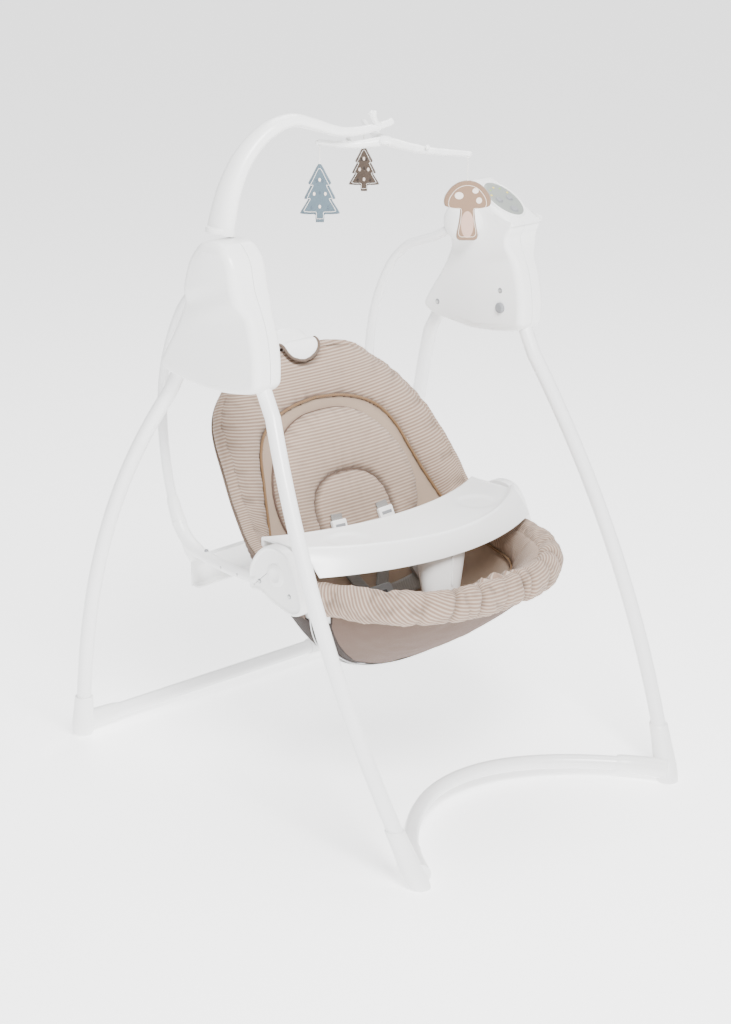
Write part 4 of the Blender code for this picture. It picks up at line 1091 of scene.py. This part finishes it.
def build_shell():
    """Moulded shell under the cover, with its handle tab at the head and stiffening ribs at the back."""
    layer("shell_moulding", stations(120, 0.02, 0.985), np.linspace(-0.93, 0.93, 81), -SHELL_WALL, 0.0,
          "white", "white_plastic", replaced="seat_shell")
    start, tip = Vector((0, 0.1935, 0.699)), Vector((0, 0.224, 0.736))
    rise = X.cross((tip - start).normalized())
    rings = []
    for share, half, thick in ((0, 0.041, 0.0045), (0.45, 0.041, 0.0045), (0.7, 0.038, 0.0044),
                               (0.86, 0.032, 0.0040),
                               (0.95, 0.025, 0.0034), (1, 0.016, 0.0022)):
        rings.append(circle(start + (tip - start) * share, X, rise, half, 48, thick))
    skin("shell_tab", rings, "white", "seat", "white_plastic")
    for side, tag in SIDES:
        turned(f"recline_boss_{tag}", (side * 0.2440, RECLINE.y, RECLINE.z), (side, 0, 0),
               [(0, 0.018), (0.0070, 0.017), (0.0085, 0.0090), (0.0190, 0.0090)], "white", "seat",
               "white_plastic")
        layer(f"shell_rib_{tag}", np.linspace(0.10, 0.50, 50), np.array([side * 0.30, side * 0.325]),
              -SHELL_WALL - 0.005, -SHELL_WALL + 0.0005, "white", "white_plastic")
    layer("shell_rib_middle", np.linspace(0.10, 0.30, 30), np.array([-0.012, 0.012]), -SHELL_WALL - 0.005,
          -SHELL_WALL + 0.0005, "white", "white_plastic")


def build_tab_clip():
    """Front of the head tab: a moulded lip over the cover's edge, with the cover bound in cord round it."""
    route = [(0.1985, 0.7060, 0.0400), (0.1990, 0.7150, 0.0400), (0.1960, 0.7195, 0.0400),
             (0.1905, 0.7218, 0.0399),
             (0.1835, 0.7200, 0.0396), (0.1778, 0.7145, 0.0385), (0.1742, 0.7070, 0.0348),
             (0.1718, 0.6990, 0.0260),
             (0.1704, 0.6930, 0.0120)]
    path = curve_through([(0, y, z) for y, z, _ in route], 5)
    halves = [p.x for p in curve_through([(w, 0, 0) for _, _, w in route], 5)]
    rings = []
    for i, (p, half) in enumerate(zip(path, halves)):
        tangent = (path[min(i + 1, len(path) - 1)] - path[max(i - 1, 0)]).normalized()
        rings.append(circle(p, X, tangent.cross(X).normalized(), half, 40, 0.0016))
    skin("tab_lip", rings, "white", "seat", "white_plastic")
    edge = [Vector((half, p.y - 0.0010, p.z - 0.0008)) for p, half in zip(path[14:], halves[14:])]
    loop = edge + [Vector((0, edge[-1].y - 0.0006, edge[-1].z - 0.0018))] \
        + [Vector((-q.x, q.y, q.z)) for q in reversed(edge)]
    cloth_cord("tab_binding", loop, 0.0028, "rim_cord", "stripe_fabric", 12, (0.0, 0.9, 0.4))


def build_hem():
    """The outer flap of the cover, gathered on elastic behind the shell's edge."""
    for side, tag in SIDES:
        def gathers(points, u, v):
            return 0.0010 * np.sin(keel_run(u) * 2 * math.pi / 0.013 + 2 * slow_noise(points, 20.0, 30.0)) \
                * smoothstep((0.97 - np.abs(v)) / 0.08)
        vs = np.linspace(0.80, 0.995, 14) * side
        hem = layer(f"cover_hem_{tag}", stations(200, 0.03, 0.62), vs, -0.0072, -0.0058, "skirt",
                    "skirt_fabric",
                    gathers)


def lip_points(count, offset_out, offset_up):
    """Points along the front lip from the left side round to the right."""
    pieces = []
    for side in (-1, 1):
        t = np.linspace(0, 1, count)
        u = 0.5 - 0.5 * np.cos(math.pi * (0.585 + 0.4110 * t))
        away, into = rim_directions(u, side)
        line = bowl(u, np.full(count, float(side))) + away * offset_up - into * offset_out
        pieces.append(line if side < 0 else line[::-1])
    return np.concatenate(pieces)


GATHERS = ((0.13, 0.16, 0.007), (0.22, 0.14, 0.010), (0.30, 0.22, 0.006), (0.365, 0.34, 0.005),
           (0.395, 0.20, 0.004),
           (0.43, 0.38, 0.0045), (0.50, 0.18, 0.006), (0.555, 0.36, 0.0035), (0.575, 0.32, 0.0035),
           (0.64, 0.20, 0.008),
           (0.70, 0.30, 0.006), (0.77, 0.34, 0.005), (0.80, 0.18, 0.004), (0.87, 0.16, 0.008))


RUFFLE_OUT, RUFFLE_UP = 0.0225, 0.0290


def build_ruffle():
    """Gathered roll of striped cloth over the front lip, pinched where the elastic is stitched, with painted
    shade in the pinches and folds.
    """
    path = smooth_points([Vector(p) for p in lip_points(150, 0.0060, -0.0020)], 6)
    run = run_along(np.array(path))
    even = np.linspace(0, run[-1], int(run[-1] / 0.0024))
    path = [Vector(p) for p in np.stack([np.interp(even, run, np.array(path)[:, k]) for k in range(3)], 1)]
    path = smooth_points(path, 24)
    run = path_run(path)
    total = run[-1]
    sides = 56
    rings, weave, folds = [], [], []
    for i, (p, s) in enumerate(zip(path, run)):
        tangent = (path[min(i + 1, len(path) - 1)] - path[max(i - 1, 0)]).normalized()
        level = tangent.cross(Z).normalized()
        if level.dot(Vector((p.x, p.y + 0.10, 0))) < 0:
            level = -level
        up = (Z - tangent * Z.dot(tangent)).normalized()
        share = s / total
        swell = 1 + 0.07 * noise.noise(Vector((s * 22, 3.3, 0))) + 0.05 * noise.noise(Vector((s * 60, 8.1,
                                                                                              0)))
        taper = 0.35 + 0.65 * float(smoothstep(min(share, 1 - share) / 0.09))
        drift = 0.0035 * noise.noise(Vector((s * 14, 1.7, 0)))
        ring = []
        for j in range(sides):
            angle = 2 * math.pi * j / sides
            pinch = 0.0
            for place, depth, width in GATHERS:
                lean = 0.006 * math.sin(place * 90.0)
                near = ((share - place) * total - lean * math.sin(angle)) / width
                pinch += 1.35 * depth * math.exp(-abs(near)) * (0.6 + 0.4 * math.cos(angle - 0.5))
            fold = 0.0024 * noise.noise(Vector((s * 60, math.cos(angle) * 1.5, math.sin(angle) * 1.5)))
            fold += 0.0011 * noise.noise(Vector((s * 170, math.cos(angle) * 2.4, math.sin(angle) * 2.4)))
            a = RUFFLE_OUT * (1 - pinch) * swell * taper + fold
            b = RUFFLE_UP * (1 - 0.55 * pinch) * swell * taper + fold
            shift = level * (a * math.cos(angle)) + up * (b * math.sin(angle) - 0.0030 + drift)
            ring.append(p + shift)
            # Painted shade: the pinches and the hollows of the folds darken the cloth's colour through the
            # fold attribute.
            folds.append(1.5 * pinch - 0.10 + max(-fold, 0) / 0.0030)
            weave.append((s, -p.y - 0.0250 * (angle if angle < math.pi else angle - 2 * math.pi) * level.y))
        rings.append(ring)
    made = skin("front_ruffle", rings, "stripe", "seat", "stripe_fabric", sharp=80)
    set_weave(made, np.array(weave))
    set_painted_crease_shade(made, np.array(folds))


def smooth_points(path, rounds):
    for _ in range(rounds):
        path = [path[0]] + [(a + b * 2 + c) / 4 for a, b, c in zip(path, path[1:], path[2:])] + [path[-1]]
    return path


def build_skirt():
    """Plain cloth from the ruffle down round the bottom of the seat, with a dark bound edge."""
    def slack(points, u, v):
        folds = 0.0020 * slow_noise(points, 16.0, 40.0, (1, 1, 0.5)) + 0.0010 * slow_noise(points, 45.0, 44.0)
        return folds - 0.0020 * smoothstep((u - 0.60) / 0.1)
    us = 0.5 - 0.5 * np.cos(math.pi * np.linspace(0.669, 0.9985, 120))
    skirt = layer("skirt_cloth", us, np.sin(np.linspace(-math.pi / 2, math.pi / 2, 110)) * 0.985, -0.0078,
                  -0.0062,
                  "skirt", "skirt_fabric", slack, replaced="seat_skirt")
    v = np.linspace(-0.98, 0.98, 120)
    u = np.full(120, us[0])
    points = laid(u, v, np.full(120, -0.0072))
    cloth_cord("skirt_binding", points, 0.0032, "binding", "skirt_fabric", 12, (0.1, 0.9, 0.4))
    # Painted shade: this sheet under the seat front takes the near-black binding cloth, darker than the
    # skirt, to stand in for the shade in the opening under the seat.
    layer("underside_shade_cloth", np.linspace(0.575, 0.785, 50), np.linspace(-0.80, 0.80, 90), -0.0060, -0.0046,
          "binding",
          "skirt_fabric", lambda p, u, v: 0.0008 * slow_noise(p, 30.0, 5.0))
    for i, u in enumerate((0.700, 0.716, 0.732)):
        v = np.linspace(-0.93, 0.93, 90)
        wire = laid(np.full(90, u), v, np.full(90, -0.0085))
        tube(f"seat_wire_{i}", wire, 0.0014, "steel", "seat", None, 10, (0.1, 0.9, 0.4))


def strap(name, uv, width, thick, lift, material, slot="webbing", replaced=None):
    """A flat strap laid over the pad along (u, v) points."""
    line = spline(uv, np.linspace(0, 1, 60))
    heights = pad_height(line[:, 0], line[:, 1]) + insert_height(line[:, 0], line[:, 1])
    kernel = np.ones(9) / 9
    padded_heights = np.pad(heights, 4, mode="edge")
    heights = np.maximum(np.convolve(padded_heights, kernel, "valid"), heights) + lift
    points = on_bowl(line[:, 0], line[:, 1], heights)
    normals = bowl_normal(line[:, 0], line[:, 1])
    rings = []
    for i in range(len(points)):
        tangent = Vector(points[min(i + 1, 59)] - points[max(i - 1, 0)]).normalized()
        up = Vector(normals[i])
        side = tangent.cross(up).normalized()
        up = side.cross(tangent)
        ring = []
        for a, b in ((-1, 0.3), (-0.94, 1), (-0.6, 1.1), (0, 1.15), (0.6, 1.1), (0.94, 1), (1, 0.3),
                     (1, -0.3),
                     (0.94, -1), (0, -1), (-0.94, -1), (-1, -0.3)):
            ring.append(Vector(points[i]) + side * (a * width / 2) + up * (b * thick / 2))
        rings.append(ring)
    made = skin(name, rings, material, "seat", slot, 50, replaced)
    run = run_along(points)
    across = np.array([a * width / 2 for a in (-1, -0.94, -0.6, 0, 0.6, 0.94, 1, 1, 0.94, 0, -0.94, -1)])
    set_weave(made, np.stack([np.tile(across, 60), np.repeat(run, 12)], 1))
    return points, normals


def rounded_box(name, centre, axes, half, corner, material, body, slot=None, replaced=None):
    """A box with rounded corners and edges: axes are its three directions."""
    a, b, c = (Vector(axis).normalized() for axis in axes)
    rings = []
    levels = 8
    for i in range(levels):
        angle = math.pi * i / (levels - 1) - math.pi / 2
        depth = half[2] * math.copysign(min(abs(math.sin(angle)) ** 0.35, 1), math.sin(angle))
        shrink = corner * 0.8 * (1 - max(math.cos(angle), 0) ** 0.5)
        ring = []
        for k, (sx, sy) in enumerate(((1, 1), (-1, 1), (-1, -1), (1, -1))):
            for q in range(5):
                turn = math.pi / 2 * (k + q / 4)
                x = sx * (half[0] - corner) + (corner - shrink * 0.6) * math.cos(turn)
                y = sy * (half[1] - corner) + (corner - shrink * 0.6) * math.sin(turn)
                ring.append(centre + a * x + b * y + c * depth)
        rings.append(ring)
    return skin(name, rings, material, body, slot, 45, replaced)


def build_harness():
    """Shoulder and waist straps with ladder adjusters, a crotch strap, and the buckle where they meet."""
    for side, tag in SIDES:
        points, normals = strap(f"harness_shoulder_{tag}", [(0.425, side * 0.105), (0.455, side * 0.11),
                                   (0.50, side * 0.10), (0.545, side * 0.06), (0.572, side * 0.03)],
                                   0.025, 0.0022, 0.0030, "webbing", "webbing", f"shoulder_strap_{tag}")
        middle, up = Vector(points[12]), Vector(normals[12])
        tangent = Vector(points[13] - points[11]).normalized()
        rounded_box(f"adjuster_{tag}", middle + up * 0.0026, (tangent.cross(up), tangent, up),
                    (0.0160, 0.0105, 0.0034),
                    0.003, "white", "seat", "white_plastic")
        rounded_box(f"adjuster_bar_{tag}", middle + up * 0.0052, (tangent.cross(up), tangent, up),
                    (0.0110, 0.0028, 0.0014), 0.001, "grey", "seat")
        strap(f"harness_waist_{tag}", [(0.555, side * 0.62), (0.572, side * 0.45), (0.585, side * 0.25),
                                       (0.588, side * 0.06)], 0.030, 0.0024, 0.0045, "webbing", "webbing")
        strap(f"waist_cover_{tag}", [(0.570, side * 0.50), (0.580, side * 0.36), (0.586, side * 0.22)], 0.054,
              0.0090,
              0.0070, "cover")
    strap("crotch_strap", [(0.60, 0.0), (0.63, 0.0), (0.66, 0.0), (0.70, 0.0)], 0.032, 0.0030, 0.0035,
          "webbing",
          "webbing")
    u, v = np.array([0.590]), np.array([0.0])
    up = Vector(bowl_normal(u, v)[0])
    middle = Vector(on_bowl(u, v, pad_height(u, v) + 0.0135)[0])
    forward = X.cross(up).normalized()
    rounded_box("buckle_body", middle, (X, forward, up), (0.027, 0.020, 0.0080), 0.006, "grey", "seat",
                "grey_plastic", replaced="harness_buckle")
    rounded_box("buckle_button", middle + up * 0.0078, (X, forward, up), (0.011, 0.009, 0.0022), 0.003,
                "dark", "seat")


def build_seat():
    for build in (build_shell, build_tab_clip, build_pad, build_pipings, build_insert, build_hem, build_skirt,
                  build_ruffle, build_harness):
        build()


# ------------------------------------------------------------------ tray
TRAY_HALF, TRAY_TOP = 0.2460, 0.4650
CUP_X, CUP_RADIUS, CUP_DEPTH = 0.150, 0.036, 0.0026


def tray_edges(x):
    """Front foot, front lip and rear edge of the tray at x."""
    return -0.208 + 1.12 * x * x, -0.203 + 1.60 * x * x + 1.1 * x ** 4, -0.057 + 0.90 * x * x + 2.0 * x ** 4


def build_tray():
    """Crescent tray: rolled front wall, rear lip, two shallow cup recesses, hooks and a crotch post."""
    rings = []
    count = 96
    for i in range(count + 1):
        x = TRAY_HALF * math.sin(math.pi / 2 * (2 * i / count - 1))
        foot_y, lip, rear = tray_edges(x)
        section = [(foot_y, 0.4300), (foot_y + (lip - foot_y) * 0.5 - 0.0006, 0.4500), (lip - 0.0010, 0.4680),
                   (lip - 0.0006, 0.4705), (lip + 0.0010, 0.4726), (lip + 0.0036, 0.4735),
                   (lip + 0.0062, 0.4728),
                   (lip + 0.0086, 0.4705), (lip + 0.0110, 0.4680), (lip + 0.0150, 0.4660),
                   (lip + 0.0200, 0.4651)]
        low, high = lip + 0.0200, rear - 0.0140
        for k in range(1, 22):
            y = low + (high - low) * k / 22
            dip = 0.0
            for cup in (-CUP_X, CUP_X):
                centre_y = 0.52 * tray_edges(cup)[1] + 0.48 * tray_edges(cup)[2]
                radial = math.hypot((x - cup) / CUP_RADIUS, (y - centre_y) / CUP_RADIUS)
                dip = max(dip, CUP_DEPTH * (1 - float(smoothstep((radial - 0.82) / 0.22))))
            section.append((y, TRAY_TOP - dip))
        section += [(high, TRAY_TOP), (rear - 0.0080, 0.4656), (rear - 0.0045, 0.4659),
                    (rear - 0.0018, 0.4650),
                    (rear - 0.0004, 0.4628), (rear, 0.4600), (rear, 0.4452), (rear - 0.0006, 0.4440),
                    (rear - 0.0028, 0.4440), (rear - 0.0032, 0.4455), (rear - 0.0040, 0.4596),
                    (rear - 0.012, 0.4606),
                    (lip + 0.0120, 0.4606), (lip + 0.0030, 0.4660), (foot_y + 0.0032, 0.4306),
                    (foot_y + 0.0020, 0.4296)]
        rings.append([Vector((x, y, z)) for y, z in section])
    skin("tray_shape", rings, "white", "tray", "white_plastic", sharp=50, replaced="tray")
    levels = [(0.4612, 0.0560, 0.0265), (0.4560, 0.0556, 0.0265), (0.4400, 0.0540, 0.0265),
              (0.4100, 0.0492, 0.0262),
              (0.3800, 0.0432, 0.0256), (0.3550, 0.0380, 0.0250), (0.3450, 0.0340, 0.0222),
              (0.3380, 0.0300, 0.0192),
              (0.3352, 0.0260, 0.0160)]
    shape = [circle(Vector((0, -0.170, z)), X, Y, a, 56, b) for z, a, b in levels]
    skin("tray_post_shape", shape, "white", "tray", "white_plastic", replaced="tray_post")
    rib = [Vector((0, -0.1975, z)) for z in np.linspace(0.372, 0.440, 12)]
    tube("tray_post_rib", rib, [0.0012] + [0.0022] * 10 + [0.0012], "white", "tray", "white_plastic", 12)
    for side, tag in SIDES:
        x = side * 0.2425
        foot_y, lip, rear = tray_edges(0.2425)
        rounded_box(f"tray_hook_{tag}", Vector((x, 0.5 * (lip + rear), 0.4560)), (Y, Z, X),
                    (0.024, 0.0100, 0.0028),
                    0.004, "white", "tray", "white_plastic")


# ------------------------------------------------------------------ toy arm, mobile and toys
TWIGS = (("l", Vector((-0.096, 0.022, 1.1010))), ("b", Vector((0.064, 0.088, 1.1080))),
         ("r", Vector((0.056, -0.166, 1.0880))))
TREE = [(0.02, 0), (0.06, 0.06), (0.13, 0.20), (0.19, 0.31), (0.185, 0.335), (0.14, 0.33), (0.20, 0.45),
        (0.26, 0.57),
        (0.255, 0.595), (0.20, 0.60), (0.27, 0.72), (0.33, 0.82), (0.325, 0.85), (0.20, 0.862),
        (0.085, 0.865),
        (0.075, 0.93), (0.07, 1)]
MUSHROOM = [(0.04, 0), (0.12, 0.018), (0.19, 0.05), (0.26, 0.10), (0.32, 0.17), (0.37, 0.25), (0.39, 0.33),
            (0.385, 0.385), (0.36, 0.425), (0.26, 0.445), (0.13, 0.455), (0.13, 0.60), (0.15, 0.75),
            (0.18, 0.90),
            (0.165, 0.97), (0.12, 1)]
TOY_FACING = Vector((math.cos(math.radians(-43)), math.sin(math.radians(-43)), 0))
TOY_DEPTH = Vector((-TOY_FACING.y, TOY_FACING.x, 0))


def build_toy_arm():
    route = [(-0.295, 0.038, 0.9765), (-0.288, 0.036, 1.010), (-0.276, 0.033, 1.050), (-0.252, 0.028, 1.094),
             (-0.214, 0.020, 1.130), (-0.170, 0.010, 1.146), (-0.128, 0.000, 1.136), (-0.086, -0.011, 1.1215),
             (-0.045, -0.020, 1.1190), (0.000, -0.032, 1.1260), (0.012, -0.034, 1.1300)]
    path = curve_through(route, 9)
    run = path_run(path)
    rings = []
    for p, (side, up), s in zip(path, frames_along(path, (0, 1, 0)), run / run[-1]):
        wide, thick = 0.0215 * (1 - s) ** 1.2 + 0.0062, 0.0125 * (1 - s) + 0.0055
        knot = 1 + 0.05 * math.exp(-((s - 0.46) / 0.025) ** 2) + 0.06 * math.exp(-((s - 0.74) / 0.020) ** 2)
        ring = []
        for j in range(40):
            angle = 2 * math.pi * j / 40
            a, b = math.cos(angle), math.sin(angle)
            flat = abs(b) ** 0.85 * math.copysign(1, b)
            ring.append(p + side * (thick * knot * a) + up * (wide * knot * flat))
        rings.append(ring)
    skin("toy_arm_shape", rings, "white", "toy_arm", "white_plastic", replaced="toy_arm")
    stub("arm_fork", [(-0.010, -0.029, 1.1225), (-0.020, -0.031, 1.1310), (-0.027, -0.033, 1.1400),
                      (-0.031, -0.034, 1.1485)], 0.0056, "toy_arm")
    turned("toy_arm_socket", (-0.2955, 0.038, 0.9790), (0.05, -0.02, 1),
           [(0, 0.0), (0.0002, 0.0235), (0.0050, 0.0240),
           (0.0085, 0.0225), (0.0092, 0.0190)], "white", "toy_arm", "white_plastic", 56)


def stub(name, route, radius, body):
    """A short side twig with a swollen, hollowed end."""
    path = curve_through(route, 8)
    count = len(path)
    radii = [radius * (1.18 - 0.30 * math.sin(math.pi * min(i / (count - 1) * 1.15,
                                                            1))) for i in range(count)]
    end, way = path[-1], (path[-1] - path[-2]).normalized()
    tube(name, path, radii, "white", body, "white_plastic", 24, (0, 1, 0))
    turned(f"{name}_end", end - way * 0.0004, way, [(0, radius * 1.02), (0.0012, radius * 1.04),
                                                    (0.0022, radius * 0.86),
           (0.0024, radius * 0.60), (0.0014, radius * 0.45), (0.0012, 0.0)], "white", body, "white_plastic",
           28)


def build_mobile():
    """Twig-like hub and three branches, with a collar that turns under the arm."""
    turned("mobile_hub", MOBILE - Z * 0.0120, (0, 0, 1),
           [(0.0, 0.0), (0.0005, 0.0070), (0.0020, 0.0118), (0.0040, 0.0150), (0.0065, 0.0157),
            (0.0090, 0.0148),
            (0.0115, 0.0120), (0.0140, 0.0080), (0.0150, 0.0056)], "white", "mobile", "white_plastic", 48,
            replaced="mobile_body")
    for tag, tip in TWIGS:
        middle = (MOBILE + tip) / 2 - Z * 0.0080
        start = MOBILE + (tip - MOBILE) * 0.04 - Z * 0.0060
        end = tip + (tip - middle).normalized() * 0.0060
        path = curve_through([start, middle, end], 22)
        radii = []
        for i in range(len(path)):
            t = i / (len(path) - 1)
            knot = (0.0007 * math.exp(-((t - 0.38) / 0.04) ** 2)
                    + 0.0006 * math.exp(-((t - 0.70) / 0.035) ** 2))
            radii.append(0.0083 - 0.0038 * t + knot - 0.0012 * float(smoothstep((t - 0.965) / 0.035)))
        tube(f"twig_{tag}", path, radii, "white", "mobile", "white_plastic", 24, (0, 0, 1))
        root = path[len(path) // 2]
        lean = (tip - MOBILE).normalized().cross(Z) * 0.009 + (tip - MOBILE).normalized() * 0.006
        stub(f"twig_fork_{tag}", [root, root + lean * 0.55 + Z * 0.004, root + lean + Z * 0.0085], 0.0034,
             "mobile")
        ring = [tip - Z * 0.0036 + (tip - middle).normalized() * (0.0032 * math.cos(a))
                + Z * (0.0026 * math.sin(a))
                for a in np.linspace(0, 2 * math.pi, 25)[:-1]]
        tube(f"twig_eye_{tag}", ring, 0.0009, "white", "mobile", "white_plastic", 10, (1, 0.3, 0), True)


def toy_outline(half, height, shrink):
    right = curve_through([(a, b, 0) for a, b in half], 3)
    flat = [(p.x * height * shrink, p.y) for p in right]
    flat += [(-a, b) for a, b in reversed(flat)]
    return flat


def toy_rings(top, half, height, profile):
    rings = []
    for level, shrink, squeeze in profile:
        rings.append([top + TOY_FACING * a + TOY_DEPTH * level - Z * (height * (0.5 + (b - 0.5) * squeeze))
                      for a, b in toy_outline(half, height, shrink)])
    return rings


PLUSH = ((-0.0062, 0.66, 0.72), (-0.0060, 0.78, 0.86), (-0.0052, 0.90, 0.94), (-0.0036, 0.97, 0.985),
         (-0.0014, 1.0, 1.0),
         (0.0014, 1.0, 1.0), (0.0036, 0.97, 0.985), (0.0052, 0.90, 0.94), (0.0060, 0.78, 0.86),
         (0.0062, 0.66, 0.72))


def patch(name, top, height, centre, radii, material, body, lift=0.0060, turn=0.0):
    """An oval of felt sewn on the front face of a toy; centre is (across, down) of its height."""
    for face in (-1, 1):
        middle = top + TOY_FACING * (centre[0] * height) - Z * (centre[1] * height)
        side = (TOY_FACING * math.cos(turn) + Z * math.sin(turn))
        up = (Z * math.cos(turn) - TOY_FACING * math.sin(turn))
        rings = [circle(middle + TOY_DEPTH * face * (lift + depth), side, up, radii[0] * grow, 28,
                        radii[1] * grow)
                 for depth, grow in ((-0.0022, 1.0), (0.0001, 1.0), (0.0006, 0.93), (0.0007, 0.6))]
        skin(f"{name}_{'f' if face < 0 else 'b'}", rings, material, body)


def stitching(name, top, half, height, material, body, share=0.86):
    """A line of thread sewn just inside the outline of a toy."""
    for face in (-1, 1):
        outline = [top + TOY_FACING * a + TOY_DEPTH * (face * 0.0062)
                   - Z * (height * (0.5 + (b - 0.5) * share))
                   for a, b in toy_outline(half, height, share - 0.06)]
        path = [p for i, p in enumerate(outline) if i == 0 or (p - outline[i - 1]).length > 0.0006]
        tube(f"{name}_{'f' if face < 0 else 'b'}", path, 0.00045, material, body, None, 6, tuple(TOY_DEPTH),
             True)


def build_toys():
    specs = (("l", "toy_tree_tall", 0.030, 0.096, "blue_felt", "toy_blue", TREE),
             ("b", "toy_tree_small", 0.036, 0.076, "brown_felt", "toy_brown", TREE),
             ("r", "toy_mushroom", 0.038, 0.098, "tan_felt", "toy_tan", MUSHROOM))
    for (tag, tip), (_, name, drop, height, material, slot, outline) in zip(TWIGS, specs):
        body = f"toy_{tag}"
        start = tip - Z * 0.0048
        top = tip - Z * (0.0052 + drop + 0.0004)
        path = [start - Z * ((drop + 0.0004) * i / 12) for i in range(13)]
        thread = tube(f"{name}_thread", path, 0.0009, "string", body, "string", 12)
        weave_along(thread, path)
        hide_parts(f"toy_string_{tag}")
        skin(f"{name}_plush", toy_rings(top, outline, height, PLUSH), material, body, slot, sharp=70,
             replaced=name)
        stitching(f"{name}_stitches", top, outline, height, "string" if tag != "r" else "cream_felt", body)
        turned(f"{name}_knot", path[-1] + Z * 0.0022, (0, 0, -1),
               [(0, 0.0006), (0.0008, 0.0017), (0.0020, 0.0021), (0.0032, 0.0015), (0.0038, 0.0006)],
               "string", body,
               sides=16)
        if tag == "r":
            patch("mushroom_spot_1", top, height, (-0.14, 0.24), (0.0072, 0.0060), "cream_felt", body)
            patch("mushroom_spot_2", top, height, (0.13, 0.16), (0.0052, 0.0045), "cream_felt", body)
            patch("mushroom_spot_3", top, height, (0.19, 0.32), (0.0048, 0.0052), "cream_felt", body)
            patch("mushroom_stem", top, height, (0.0, 0.72), (0.0105, 0.0220), "rose_felt", body)
        else:
            trim = "blue_dark" if tag == "l" else "brown_dark"
            for i, depth in enumerate((0.26, 0.48, 0.72)):
                for k in (-1, 0, 1):
                    patch(f"{name}_spot_{i}_{k + 1}", top, height,
                          (k * (0.05 + 0.045 * i), depth + 0.02 * abs(k)),
                          (0.0022, 0.0032), trim if (i + k) % 2 else "cream_felt", body, 0.0059)


# ------------------------------------------------------------------ pieces that keep their CAD shape
def paint(node, material):
    """Gives a CAD node that keeps its shape its own material."""
    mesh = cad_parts[node].data
    mesh.materials.clear()
    mesh.materials.append(M[material])


def build_joints():
    """Knuckles, shafts, bushes, drive, board and battery door."""
    for side, tag in SIDES:
        turned(f"fold_knuckle_shape_{tag}", (side * 0.2765, FOLD.y, FOLD.z), (side, 0, 0),
               [(0, 0.0055), (0.0052, 0.0055), (0.0058, 0.0135), (0.0066, 0.0148), (0.0080, 0.0158),
                (0.0390, 0.0158), (0.0406, 0.0148), (0.0412, 0.0135), (0.0418, 0.0055), (0.050, 0.0055)],
               "grey", "front_frame", "grey_plastic", replaced=f"fold_knuckle_{tag}")
        paint(f"swing_shaft_{tag}", "steel")
        paint(f"swing_bush_{tag}", "nylon")
    for node, material in (("motor", "steel"), ("motor_pinion", "steel"), ("drive_gear", "nylon"),
                           ("circuit_board", "board"), ("battery_door", "white"), ("recline_lever", "white")):
        paint(node, material)


# ------------------------------------------------------------------ floor, light and camera
FLOOR_HALF, FLOOR_SQUARES, FLOOR_GAP = 60, 12, 0.0008
LENS, SENSOR = 88.956, 36.0
CAMERA_AT, CAMERA_ELEVATION, CAMERA_AZIMUTH = (-2.827, -3.0121, 1.8109), 18.185, -43.036
LAMPS = (("key", (-1.4, -2.4, 3.2), 1.3, 320.0), ("fill", (2.6, -1.6, 2.0), 2.6, 16.0),
         ("top", (0.9, 0.9, 3.6), 2.0, 120.0))
LAMP_TARGET = Vector((0, 0, 0.5))


def put(name, data):
    """An object of the studio, which isn't part of the swing."""
    obj = bpy.data.objects.new(name, data)
    bpy.context.scene.collection.objects.link(obj)
    return obj


def build_stage():
    material = Shader("floor", colour(254, 254, 254), 0.85)
    grain = material.noise(60.0, 3.0)
    material.rough(material.spread(grain, 0.80, 0.90))
    material.bump(grain, 0.0002, 0.05)
    material.shader.inputs["Emission Color"].default_value = (1.0, 1.0, 1.0, 1.0)
    material.shader.inputs["Emission Strength"].default_value = 1.5
    row, step = FLOOR_SQUARES + 1, 2 * FLOOR_HALF // FLOOR_SQUARES
    vertices = [(-FLOOR_HALF + step * i, -FLOOR_HALF + step * k,
                 -FLOOR_GAP) for i in range(row) for k in range(row)]
    faces = [(row * i + k, row * i + row + k, row * i + row + 1 + k, row * i + k + 1)
             for i in range(FLOOR_SQUARES) for k in range(FLOOR_SQUARES)]
    mesh = bpy.data.meshes.new("floor")
    mesh.from_pydata(vertices, [], faces)
    mesh.materials.append(material.material)
    put("floor", mesh)
    world = bpy.data.worlds.new("studio")
    world.use_nodes = True
    world.node_tree.nodes["Background"].inputs["Color"].default_value = (1.0, 1.0, 1.0, 1.0)
    world.node_tree.nodes["Background"].inputs["Strength"].default_value = 0.72
    bpy.context.scene.world = world
    for name, place, size, power in LAMPS:
        light = bpy.data.lights.new(f"light_{name}", "AREA")
        light.shape = "SQUARE"
        light.size = size
        light.energy = power
        lamp = put(f"light_{name}", light)
        lamp.location = place
        lamp.rotation_euler = (LAMP_TARGET - Vector(place)).to_track_quat("-Z", "Y").to_euler()
    lens = bpy.data.cameras.new("camera")
    lens.lens = LENS
    lens.sensor_width = SENSOR
    camera = put("camera", lens)
    camera.location = CAMERA_AT
    camera.rotation_euler = (math.radians(90 - CAMERA_ELEVATION), 0, math.radians(CAMERA_AZIMUTH))
    bpy.context.scene.camera = camera


for build in (build_stand, build_hubs, build_swing_frame, build_seat, build_tray, build_toy_arm, build_mobile,
              build_toys, build_joints, build_stage):
    build()
